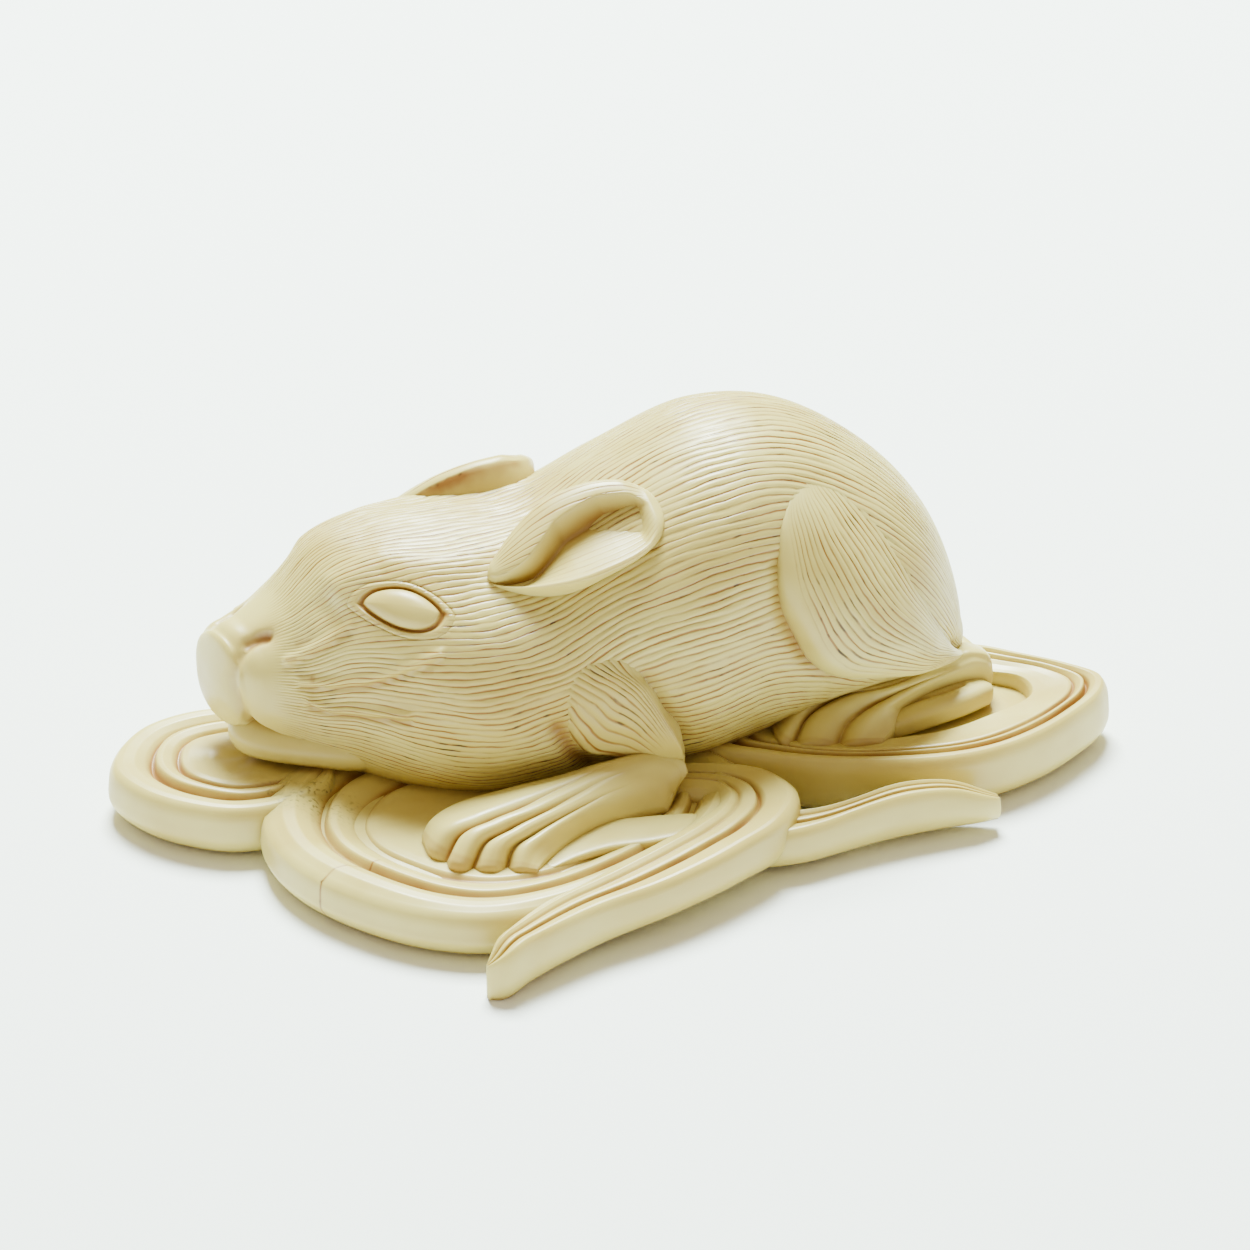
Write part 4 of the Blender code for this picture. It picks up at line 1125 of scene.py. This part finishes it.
class Rim(Enum):
    """Cross profile of a cloud plate: share of the way inward, height of the top there in mm.

    Each ring has a crisp outer crest and falls inward to the foot of the next one.
    """

    RIDGED = ((0.04, 0.0), (0.10, 0.08), (0.20, 0.0), (0.29, -0.35), (0.36, -0.9), (0.40, -0.1),
              (0.45, -0.02), (0.54, -0.3), (0.60, -0.8), (0.635, -0.35), (0.70, -0.28), (0.90, -0.35),
              (1.0, -0.3))
    PILLOWED = ((0.04, 0.0), (0.10, 0.35), (0.17, 0.42), (0.26, 0.0), (0.33, -0.7), (0.365, 0.0),
                (0.41, 0.02), (0.50, -0.4), (0.555, -0.75), (0.59, -0.35), (0.66, -0.3), (0.85, -0.35),
                (1.0, -0.3))
    PITTED = ((0.04, 0.0), (0.12, 0.02), (0.19, -0.25), (0.245, -0.85), (0.28, -0.05), (0.32, -0.08),
              (0.385, -0.4), (0.415, -0.6), (0.44, -0.25), (0.48, -0.2), (0.62, -0.35), (0.80, -0.45),
              (0.94, -0.5), (0.98, -0.9), (1.0, -2.4))
    BANDED = ((0.05, 0.0), (0.10, 0.05), (0.31, -0.2), (0.375, -0.7), (0.41, -0.15), (0.46, -0.1),
              (0.56, -0.2), (0.61, -0.4), (0.65, -0.2), (0.72, -0.05), (0.90, -0.4), (1.0, -0.9))
    FLAT = ((0.2, 0.0), (0.6, 0.0), (1.0, 0.0))

    def profile(self, steps: int) -> tuple[np.ndarray, np.ndarray, np.ndarray]:
        """Read the profile, with its corners eased by a bell, and the stain that its grooves hold.

        Stain is a narrow bell at each lowest point, and a longer tail down the slope outside it.

        Args:
            steps: Number of readings.

        Returns:
            Shares, heights and stains.
        """
        shares, heights = np.array(self.value).T
        fine = np.linspace(shares[0], 1.0, 600)
        bell = np.exp(-np.linspace(-2.0, 2.0, 15) ** 2)
        sharp = np.pad(np.interp(fine, shares, heights), len(bell) // 2, mode="edge")
        high = np.convolve(sharp, bell / bell.sum(), "valid")
        before, here, after = heights[:-2], heights[1:-1], heights[2:]
        lowest = (here < before) & (here < after - 0.1)
        stain = np.zeros_like(fine)
        for groove, much in zip(shares[1:-1][lowest], np.minimum(1.0, -1.15 * here[lowest])):
            stain += 0.8 * much * np.exp(-((fine - groove) / 0.03) ** 2)
            stain += np.where(fine < groove, 0.5 * much * np.exp((fine - groove) / 0.05), 0.0)
        share = np.linspace(shares[0], 1.0, steps)
        return share, np.interp(share, fine, high), np.interp(share, fine, np.clip(stain, 0.0, 1.0))


@dataclass(frozen=True)
class Plate:
    """A cloud plate as drawn in plan: the outline of its rim, and the core that its rings close in on."""

    outline: tuple
    core: tuple                   # one point to each of the outline's
    top: float
    rim: Rim
    around: int = 200             # columns
    steps: int = 96               # rows over the rings
    cracks: tuple = ()            # share of the way round, first and last row that each crosses


@dataclass(frozen=True)
class Tail:
    """A pointed cloud tail as drawn: plan curves of its edges, heights along its top and under side."""

    outer: tuple
    inner: tuple
    tops: tuple
    lows: tuple


@dataclass
class Clouds:
    """Swirling plates under the hare, and two pointed tails on the near side."""

    rim_lift: float = 1.5         # height at which the rim stands out most
    rim_undercut: float = 1.8     # how far the resting face lies inside the rim
    crack_width: float = 0.0011   # share of the way round
    crack_sway: float = 0.0018    # share of the way round
    low_left: Plate = Plate(
        ((-36.9, -2.6), (-35.2, -5.9), (-32.4, -8.3), (-29.0, -9.7), (-25.5, -9.3), (-22, -6.5),
         (-21.5, -1), (-24, 3.5), (-29.5, 5.2), (-34, 3.6), (-36.4, 0.3)),
        ((-29.3, -1.6), (-29.0, -2.6), (-28.2, -3.2), (-27.0, -3.4), (-25.5, -3.2), (-24.5, -2.4),
         (-24.5, -1), (-25.5, -0.2), (-27.2, 0.2), (-28.5, 0), (-29.2, -0.7)), 4.2, Rim.RIDGED)
    front: Plate = Plate(
        ((-26.9, -9.5), (-26.6, -14.1), (-24.9, -18.0), (-21.5, -22.0), (-17.7, -24.8),
         (-13.5, -26.2), (-8, -25.4), (-1, -21.5), (5, -16), (7, -9), (3, -3), (-8, 0), (-18, 0),
         (-25, -4)),
        ((-15.5, -13), (-15.3, -13.8), (-14.5, -14.8), (-13.3, -15.6), (-12, -16.2),
         (-10.5, -16.6), (-8.5, -16.4), (-6.5, -15.4), (-4.5, -14), (-4, -12.5), (-5.5, -11.5),
         (-8, -11), (-11, -11), (-14, -11.8)), 3.8, Rim.PILLOWED, 260, 110, ((0.138, 6, 60),))
    rear: Plate = Plate(
        ((8.2, -8.8), (11.4, -10.1), (16.3, -11.2), (21.3, -11.5), (24.8, -10.8), (28.5, -8.9),
         (31.6, -6.3), (33.9, -3.6), (34.4, -1.5), (32.4, 0.6), (29.2, 2.8), (26.2, 4.6), (18, 6),
         (8, 4), (4, -1), (4.5, -6.5)),
        ((14.5, -6.3), (15.5, -6.8), (17.0, -7.1), (20.4, -6.7), (23.1, -6.1), (25.9, -4.8),
         (27.5, -3.8), (28.7, -2.5), (28.9, -1.1), (28.4, 0.3), (26.8, 1.3), (24, 2), (19, 2),
         (15, 0), (13, -2.5), (13.3, -5)), 4.7, Rim.PITTED, 220, 110)
    far_front: Plate = Plate(
        ((-28, 5.5), (-23, 3), (-12, 2), (0, 2), (7, 6), (9, 12), (6.2, 18.6), (-1, 22.2),
         (-9, 23.8), (-17, 22.0), (-23.8, 17.2), (-27.6, 11.0)),
        ((-15.5, 12.5), (-14.5, 11), (-12, 10.5), (-9, 10.5), (-6.5, 11.5), (-5.5, 13),
         (-6, 14.6), (-8, 15.8), (-10.5, 16.3), (-13, 16), (-15, 15), (-15.9, 13.8)),
        4.0, Rim.PILLOWED, 160, 70)
    far_rear: Plate = Plate(
        ((5, 6), (12, 3), (20, 2.5), (26.5, 3.9), (25.8, 7.5), (24.3, 12), (20.5, 16.6),
         (14, 19.4), (7, 19.6), (3, 16), (3, 10)),
        ((11, 10), (13, 9), (17, 9), (19.5, 9.5), (19.8, 11), (19, 12.5), (17, 14), (14, 15),
         (11.5, 14.8), (10, 13.5), (10, 11.5)), 4.2, Rim.RIDGED, 160, 70)
    bed: Plate = Plate(
        ((-26, -6), (-24, -14), (-16, -21), (-6, -22), (2, -17), (7, -11), (14, -8.5), (24, -8),
         (31, -3), (29, 1), (22, 8), (19, 14), (5, 18), (-10, 18.5), (-22, 13), (-30, 2)),
        ((-12, -5), (-11, -7), (-9, -8), (-6, -8), (-3, -8), (0, -7), (3, -6), (6, -5), (8, -2),
         (8, 0), (7, 3), (5, 6), (0, 8), (-5, 8), (-9, 5), (-12, 0)), 3.2, Rim.FLAT, 120, 12)
    near_tail: Tail = Tail(
        ((-14.0, -30.9), (-12.9, -31.2), (-10.6, -29.9), (-5.8, -27.0), (0, -24.4), (5.0, -21.2),
         (8.6, -17.9), (9.9, -14.6), (8.6, -11.2), (4.6, -9.0), (1, -8.5), (-2, -8.5)),
        ((-14.0, -30.3), (-13.4, -29.1), (-11.8, -27.3), (-9.1, -24.6), (-5.0, -21.8), (-1.0, -19.2),
         (2.4, -16.6), (4.1, -14.6), (3.9, -12.9), (2.2, -11.9), (0, -11.6), (-2, -11.8)),
        (2.6, 3.9, 4.15, 4.25, 4.3, 4.35, 4.4, 4.5, 4.6, 4.7, 4.8, 4.85, 4.9, 4.85, 4.8, 4.7, 4.6, 4.5,
         4.4, 4.3, 4.2), (-1.0, 0.0, 0.4, 0.8, 1.0, 1.0, 0.8, 0.6, 0.5, 0.5, 0.5))
    small_tail: Tail = Tail(
        ((6, -18.6), (9.5, -18.3), (13.5, -16.9), (17.1, -15.8), (20.8, -15.1), (23.2, -14.8),
         (24.4, -14.3)),
        ((6, -13.5), (10.1, -14.6), (14.0, -14.2), (16.7, -13.2), (19.3, -12.8), (22.0, -12.9),
         (24.3, -13.4)), (3.6, 3.8, 3.9, 4.2, 4.3, 3.9, 2.6), (0.5, 0.4, 0.3, 0.3, 0.3, 0.4, 0.7))
    dirt_lines: tuple = (((-25.2, -7.5, 4.0), (-22.5, -7.6, 3.6)), ((-24.4, -8.5, 3.8), (-22.0, -9.8, 3.6)))

    def plate(self, plan: Plate) -> Skin:
        """Raise a plate: up from the resting face, round the rim, over the rings to its core.

        Each row lies between the outline and the core at its share of the way, at its height. The
        carver's hand shows: the rings swing a little, and their depth comes and goes.

        Args:
            plan: What it is drawn as.

        Returns:
            The plate's skin.
        """
        turn = np.linspace(0.0, 1.0, plan.around + 1)[:-1]
        fine = [crack[0] + offset for crack in plan.cracks for offset in np.linspace(-0.0035, 0.0035, 9)]
        turn = np.unique(np.concatenate([turn, fine]))
        around = len(turn)
        outer, inner = ring(plan.outline, turn), ring(plan.core, turn)
        out = side_on(outer, True)
        middle = np.tile(inner.mean(axis=0), (around, 1))
        edge = smooth(np.linspace(0.0, 1.0, 16), [0.0, 0.28, 0.5, 0.72, 0.87, 1.0],
                      [(-self.rim_undercut, 0.0), (-0.5, 0.33 * self.rim_lift), (0.3, self.rim_lift),
                       (0.3, plan.top - 1.5), (0.2, plan.top - 0.8), (0.0, plan.top - 0.3)])
        rows = [(middle, 0.0), (0.5 * (middle + outer), 0.0)]
        rows += [(outer + out * off, height) for off, height in edge]
        rings = slice(len(rows), len(rows) + plan.steps)
        share, rise, held = plan.rim.profile(plan.steps)
        round_trip = 2 * math.pi * turn
        swing = 0.02 * (np.sin(2 * round_trip + 0.3 * math.pi) + 0.4 * np.sin(5 * round_trip + 0.8 * math.pi))
        press = (1.0 + 0.2 * np.sin(2 * round_trip + 0.2 * math.pi)
                 + 0.12 * np.sin(5 * round_trip + 0.6 * math.pi))
        rows += [(outer + (inner - outer) * (s + 4.0 * s * (1.0 - s) * swing)[:, None], plan.top + h * press)
                 for s, h in zip(share, rise)]
        rows += [(0.5 * (inner + middle), rows[-1][1]), (middle, rows[-1][1])]
        grid = [np.column_stack([flat, np.full(around, height)]) for flat, height in rows]
        skin = Skin.plain(np.stack(grid))
        skin.stain[rings] = held[:, None]
        row = np.arange(len(rows))
        for place, first, last in plan.cracks:
            off = turn[None] - place - self.crack_sway * np.sin(row / 5.0)[:, None]
            dark = np.exp(-(off / self.crack_width) ** 2) * ((row >= first) & (row <= last))[:, None]
            skin.stain, skin.soot = skin.stain + dark, skin.soot + 0.8 * dark
        return skin

    def tail(self, plan: Tail, along: int = 150) -> Skin:
        """Draw a pointed tail: a banded section carried between two plan curves.

        Args:
            plan: What it is drawn as.
            along: Rows.

        Returns:
            The tail's skin.
        """
        right, left = track(plan.outer, along), track(plan.inner, along)
        out_right, out_left = side_on(right, False), -side_on(left, False)
        thin = np.clip(np.linalg.norm(right - left, axis=1) / 2.0, 0.0, 1.0)
        top, low = (level(heights, along) for heights in (plan.tops, plan.lows))
        high = top - low
        e = thin[:, None]
        rows = [(left + (right - left) * 0.5, low), (right - out_right * 1.2 * e, low)]
        flank = smooth(np.linspace(0, 1, 10), [0, 0.3, 0.6, 0.85, 1.0],
                       [(-0.9, 0.06), (-0.2, 0.18), (0.25, 0.45), (0.2, 0.75), (0.05, 0.92)])
        rows += [(right + out_right * off * e, low + part * high) for off, part in flank]
        across, rise, held = Rim.BANDED.profile(90)
        bands = slice(len(rows), len(rows) + len(across))
        rows += [(right + (left - right) * s, top + h * thin) for s, h in zip(across, rise)]
        rows += [(left + out_left * 0.1 * e, top - 0.3 * high), (left + out_left * 0.1 * e, low + 0.3 * high)]
        grid = np.stack([np.column_stack([flat, np.maximum(height, 0.0)]) for flat, height in rows], axis=1)
        ends = [np.tile(end.mean(axis=0), (1, len(rows), 1)) for end in (grid[0], grid[-1])]
        skin = Skin.plain(np.concatenate([ends[0], grid, ends[1]], axis=0))
        skin.stain[1:-1, bands] = held[None] * np.clip(2.0 * e, 0.0, 1.0)
        return skin

    def tongue(self) -> Skin:
        """The tongue of cloud behind the hind foot, with one groove along it.

        Returns:
            The tongue's skin.
        """
        tongue = limb([(17.3, -5.6, 3.9), (19.7, -4.7, 4.3), (23.4, -3.1, 4.4), (26.1, -1.3, 4.3)],
                      [1.0, 1.3, 1.3, 1.2], [0.7, 0.9, 0.9, 0.9], roundness=3.4, along=90, around=60)
        tongue.cut(track([(19.5, -4.2, 5.2), (21.8, -3.4, 5.3), (24.0, -2.3, 5.2)], 20), 0.28, 0.22, 0.5)
        return tongue

    def swirl(self) -> Skin:
        """The flat swirl beside the forepaw."""
        return limb([(-8.6, -19.8, 3.3), (-6.6, -18.2, 3.5), (-4.0, -16.8, 3.5), (-1.0, -16.5, 3.5),
                     (2.2, -16.2, 3.5), (3.6, -15.9, 3.4)], [0.5, 1.2, 1.8, 1.8, 1.4, 1.1],
                    [0.2, 0.35, 0.5, 0.5, 0.5, 0.5], roundness=4.0, along=90, around=60)

    def carve(self) -> dict[str, list[Skin]]:
        """Carve the clouds.

        Returns:
            The skins of each piece, by the piece's name.
        """
        low_left, front = self.plate(self.low_left), self.plate(self.front)
        for skin, line in zip((low_left, front), self.dirt_lines):
            skin.soot += 0.9 * skin.nearness(line, 1.6)
        return {"clouds_front": [low_left, front, self.tail(self.near_tail), self.swirl()],
                "clouds_rear": [self.plate(self.rear), self.tail(self.small_tail), self.tongue()],
                "clouds_far": [self.plate(plan) for plan in (self.far_front, self.far_rear, self.bed)]}


@dataclass(frozen=True)
class Ivory:
    """Elephant ivory, cut by hand, polished and aged: cream, slightly translucent, tea stain in the cuts.

    Translucency softens the shade on thin rims, the polish gives broad soft highlights, and old
    stain gathers where the cloth can't wipe, in hair lines and cuts. Corners between forms are
    darkened by ambient occlusion: part stain, part painted shade.
    """

    light: str = "D2C472"
    middle: str = "C2AE5C"
    stain: str = "94682A"
    dark: str = "3A2408"
    roughness: float = 0.36
    ior: float = 1.54
    glow: float = 0.18
    glow_mm: float = 1.6          # how far light wanders inside
    grain_mm: float = 6.0         # clouds of cream across the tusk
    corner_shade_mm: float = 0.9        # reach of the painted corner shade, which stands in part for stain the cloth can't wipe
    patch_mm: float = 3.846       # patches with more stain and more painted corner shade
    stroke_mm: float = 4.1667     # run over which a hair line keeps its strength
    shake_mm: float = 1.111       # wobble of the graver
    soot_mm: float = 1.4286       # strokes that old wax turned black
    grit_mm: float = 0.3333       # grains of dirt
    rub_mm: float = 2.0           # where handling wore the polish
    bump_mm: float = 0.08

    def node(self, tree: bpy.types.NodeTree, kind: str, links: dict | None = None, out: int | str = 0,
             **settings: object) -> bpy.types.NodeSocket:
        """Add a node with its settings and its links.

        Args:
            tree: The material's nodes.
            kind: Type of node, without the "ShaderNode" that all of them start with.
            links: Input, by name or number, to a value or to the output that feeds it.
            out: The output to give back, by name or number.
            **settings: Attributes of the node.

        Returns:
            The node's output.
        """
        made = tree.nodes.new("ShaderNode" + kind)
        for key, value in settings.items():
            setattr(made, key, value)
        for key, value in (links or {}).items():
            if isinstance(value, bpy.types.NodeSocket):
                tree.links.new(value, made.inputs[key])
            else:
                made.inputs[key].default_value = value
        return made.outputs[out]

    def strokes(self, tree: bpy.types.NodeTree, where: bpy.types.NodeSocket) -> bpy.types.NodeSocket:
        """Lay stain in the hair lines: narrow, and coming and going along each line.

        The distance from the middle of a line, as a share of the pitch, is the fraction of the
        line's number folded over. Noise along the line, new for each line, says how full it is.

        Args:
            tree: The material's nodes.
            where: Object coordinates.

        Returns:
            How much stain a line holds.
        """
        node = partial(self.node, tree)
        along = node("SeparateXYZ", {0: node("UVMap", uv_map="hair")})
        number = along.node.outputs[1]
        noise = node("TexNoise", {"Vector": where, "Scale": 1.0 / (MM * self.shake_mm), "Detail": 1.0})
        middling = node("Math", {0: noise, 1: 0.5}, operation="SUBTRACT")
        shake = node("Math", {0: middling, 1: 0.2}, operation="MULTIPLY")
        moved = node("Math", {0: number, 1: shake}, operation="ADD")
        half_on = node("Math", {0: moved, 1: 0.5}, operation="ADD")
        fraction = node("Math", {0: half_on}, operation="FRACT")
        centred = node("Math", {0: fraction, 1: 0.5}, operation="SUBTRACT")
        fold = node("Math", {0: centred}, operation="ABSOLUTE")
        line = node("MapRange", {0: fold, 1: 0.2, 2: 0.03, 3: 0.0, 4: 1.0}, interpolation_type="SMOOTHSTEP")
        run = node("Math", {0: along, 1: 1.0 / self.stroke_mm}, operation="MULTIPLY")
        whole = node("Math", {0: moved}, operation="ROUND")
        apart = node("Math", {0: whole, 1: 3.7}, operation="MULTIPLY")
        spot = node("CombineXYZ", {0: run, 1: apart})
        stroke = node("TexNoise", {"Vector": spot, "Scale": 1.0, "Detail": 2.5})
        fade = node("MapRange", {0: stroke, 1: 0.36, 2: 0.62, 3: 0.3, 4: 1.3})
        drawn = node("Math", {0: line, 1: fade}, operation="MULTIPLY")
        furred = node("Attribute", out="Fac", attribute_name="hairy")
        return node("Math", {0: drawn, 1: furred}, operation="MULTIPLY")

    def stain_and_corner_shade(self, tree: bpy.types.NodeTree, where: bpy.types.NodeSocket) -> bpy.types.NodeSocket:
        """Stain the cuts; darken corners by ambient occlusion, part stain and part painted shade.

        Args:
            tree: The material's nodes.
            where: Object coordinates.

        Returns:
            How much stain and painted shade a spot holds.
        """
        node = partial(self.node, tree)
        # Ambient occlusion: painted shade in corners and creases, standing in part for stain there
        corner = node("AmbientOcclusion", {"Distance": MM * self.corner_shade_mm}, out="AO", samples=8)
        closed = node("MapRange", {0: corner, 1: 0.72, 2: 0.2, 3: 0.0, 4: 0.5})
        cuts = node("Attribute", out="Fac", attribute_name="stain")
        both = node("Math", {0: closed, 1: cuts}, operation="ADD")
        noise = node("TexNoise", {"Vector": where, "Scale": 1.0 / (MM * self.patch_mm), "Detail": 2.0})
        patch = node("MapRange", {0: noise, 1: 0.3, 2: 0.7, 3: 0.55, 4: 1.25})
        return node("Math", {0: both, 1: patch}, operation="MULTIPLY", use_clamp=True)

    def blackened(self, tree: bpy.types.NodeTree, where: bpy.types.NodeSocket,
                  inked: bpy.types.NodeSocket) -> bpy.types.NodeSocket:
        """Turn a few strokes nearly black with old wax, and leave grains of dirt where no hair is.

        Args:
            tree: The material's nodes.
            where: Object coordinates.
            inked: How much stain the hair lines hold.

        Returns:
            How black a spot is.
        """
        node = partial(self.node, tree)
        sooty = node("Attribute", out="Fac", attribute_name="soot")
        noise = node("TexNoise", {"Vector": where, "Scale": 1.0 / (MM * self.soot_mm), "Detail": 3.0})
        more = node("Math", {0: sooty, 1: 0.14}, operation="MULTIPLY")
        speck = node("Math", {0: noise, 1: more}, operation="ADD")
        black = node("MapRange", {0: speck, 1: 0.60, 2: 0.70})
        waxed = node("Math", {0: inked, 1: black}, operation="MULTIPLY")
        grit = node("TexNoise", {"Vector": where, "Scale": 1.0 / (MM * self.grit_mm), "Detail": 1.0})
        dirt = node("MapRange", {0: grit, 1: 0.54, 2: 0.74})
        furred = node("Attribute", out="Fac", attribute_name="hairy")
        hairless = node("Math", {0: 1.0, 1: furred}, operation="SUBTRACT")
        open_soot = node("Math", {0: sooty, 1: hairless}, operation="MULTIPLY")
        grains = node("Math", {0: open_soot, 1: dirt}, operation="MULTIPLY")
        held = node("Math", {0: waxed, 1: grains}, operation="ADD")
        return node("Math", {0: held, 1: 0.85}, operation="MULTIPLY", use_clamp=True)

    def material(self, name: str = "aged ivory") -> bpy.types.Material:
        """Build the finish from the hair map, the stain that the cutter left and painted corner shade.

        Args:
            name: Name of the material.

        Returns:
            The material.
        """
        material = bpy.data.materials.new(name)
        material.use_nodes = True
        tree = material.node_tree
        node = partial(self.node, tree)
        where = node("TexCoord", out="Object")
        grain = node("Mapping", {"Vector": where, "Scale": (0.35, 1.0, 1.0)})
        slow = node("TexNoise", {"Vector": grain, "Scale": 1.0 / (MM * self.grain_mm), "Detail": 3.0})
        tone = node("MapRange", {0: slow, 1: 0.35, 2: 0.65})
        inked = self.strokes(tree, where)
        colour = node("Mix", {0: tone, 6: linear(self.light), 7: linear(self.middle)}, 2, data_type="RGBA")
        # Stain colour also serves as painted shade in the corners
        for share, paint in ((self.stain_and_corner_shade(tree, where), self.stain), (inked, self.stain),
                             (self.blackened(tree, where, inked), self.dark)):
            colour = node("Mix", {0: share, 6: colour, 7: linear(paint)}, 2, data_type="RGBA")
        rub = node("TexNoise", {"Vector": where, "Scale": 1.0 / (MM * self.rub_mm), "Detail": 4.0})
        rough = node("MapRange", {0: rub, 1: 0.3, 2: 0.7, 3: self.roughness - 0.06, 4: self.roughness + 0.08})
        scuff = node("Math", {0: rub, 1: 0.06}, operation="MULTIPLY")
        height = node("Math", {0: scuff, 1: inked}, operation="SUBTRACT")
        bump = node("Bump", {"Height": height, "Strength": 0.5, "Distance": MM * self.bump_mm})
        shader = tree.nodes["Principled BSDF"]
        for socket, output in (("Base Color", colour), ("Roughness", rough), ("Normal", bump)):
            tree.links.new(output, shader.inputs[socket])
        for socket, value in (("IOR", self.ior), ("Subsurface Weight", self.glow),
                              ("Subsurface Radius", (1.0, 0.8, 0.5)),
                              ("Subsurface Scale", MM * self.glow_mm)):
            shader.inputs[socket].default_value = value
        return material


def stand(name: str, data: bpy.types.ID, axes: tuple, place: np.ndarray) -> bpy.types.Object:
    """Put a camera or a lamp in the scene.

    Args:
        name: Its name.
        data: The camera or lamp.
        axes: Unit vectors to its right, up and back.
        place: Where it stands, in metres.

    Returns:
        The object.
    """
    turned = np.eye(4)
    turned[:3] = np.column_stack([*axes, place])
    thing = bpy.data.objects.new(name, data)
    thing.matrix_world = Matrix(turned.tolist())
    bpy.context.scene.collection.objects.link(thing)
    return thing


@dataclass
class Studio:
    """Camera at the photograph's angle, a plain pale floor and soft light from above and behind."""

    bench: Bench
    height_mm: float = 226.4      # camera above the floor
    distance_mm: float = 400.0    # camera to the drawing's origin along the floor
    turn: float = 8.0             # degrees that the carving is turned from square-on
    dip: float = 28.3             # degrees that the camera looks down
    roll: float = 0.8             # degrees that the camera leans
    focal_px: float = 6400.0      # focal length in pixels of the photograph
    frame_px: float = 1250.0      # the photograph's width and height
    sensor_mm: float = 36.0
    floor_colour: str = "FAFFFB"
    floor_width: float = 8.0      # metres
    sky_colour: str = "FFEBD0"
    sky_strength: float = 0.7
    lamp_place: tuple = (0.02, 0.28, 0.54)
    lamp_size: float = 0.26       # metres
    lamp_power: float = 21.5      # watts
    lamp_colour: str = "F0FFFC"

    def camera(self) -> None:
        """Set the camera: its right, up and back vectors from the turn, the dip and the roll."""
        turn, dip, roll = (math.radians(a) for a in (self.turn, self.dip, self.roll))
        away = self.distance_mm * np.array([math.sin(turn), math.cos(turn)])
        place = self.bench.place(np.array([-away[0], -away[1], self.height_mm]))
        across = np.array([math.cos(turn), -math.sin(turn), 0.0])
        ahead = np.array([math.sin(turn) * math.cos(dip), math.cos(turn) * math.cos(dip), -math.sin(dip)])
        over = np.cross(across, ahead)
        right = math.cos(roll) * across - math.sin(roll) * over
        up = math.sin(roll) * across + math.cos(roll) * over
        lens = bpy.data.cameras.new("photo camera")
        lens.sensor_width = self.sensor_mm
        lens.sensor_fit = "HORIZONTAL"
        lens.lens = self.focal_px / self.frame_px * lens.sensor_width
        lens.clip_start = 0.01
        bpy.context.scene.camera = stand("photo camera", lens, (right, up, -ahead), place)

    def floor(self) -> None:
        """Lay a wide pale floor of matt card."""
        wide = 0.5 * self.floor_width
        mesh = bpy.data.meshes.new("floor")
        mesh.from_pydata([(-wide, -wide, 0.0), (wide, -wide, 0.0), (wide, wide, 0.0), (-wide, wide, 0.0)],
                         [], [(0, 1, 2, 3)])
        card = bpy.data.materials.new("pale card")
        card.use_nodes = True
        shader = card.node_tree.nodes["Principled BSDF"]
        shader.inputs["Base Color"].default_value = linear(self.floor_colour)
        shader.inputs["Roughness"].default_value = 0.9
        mesh.materials.append(card)
        floor = bpy.data.objects.new("floor", mesh)
        bpy.context.scene.collection.objects.link(floor)

    def light(self) -> None:
        """Light the set: a bright even sky and a large soft lamp above and behind the carving."""
        world = bpy.data.worlds.new("white tent")
        world.use_nodes = True
        sky = world.node_tree.nodes["Background"]
        sky.inputs["Color"].default_value = linear(self.sky_colour)
        sky.inputs["Strength"].default_value = self.sky_strength
        bpy.context.scene.world = world
        lamp = bpy.data.lights.new("overhead", "AREA")
        lamp.shape, lamp.size, lamp.energy = "SQUARE", self.lamp_size, self.lamp_power
        lamp.color = linear(self.lamp_colour)[:3]
        place = np.array(self.lamp_place)
        back = place / np.linalg.norm(place)
        right = np.cross((0.0, 0.0, 1.0), back)
        right /= np.linalg.norm(right)
        stand("overhead", lamp, (right, np.cross(back, right), back), place)


def main() -> None:
    """Build the carving and its set, in order."""
    logging.basicConfig(level=logging.INFO, format="%(name)s: %(message)s")
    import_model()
    lowest, highest = (np.array(corner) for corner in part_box(NODE))
    bench = Bench(lowest, highest)
    studio = Studio(bench)
    studio.camera()
    ivory = Ivory().material()
    for maker in (Hare(), Clouds()):
        for name, skins in maker.carve().items():
            bench.piece(name, skins, ivory)
    studio.floor()
    studio.light()


if __name__ == "__main__":
    main()
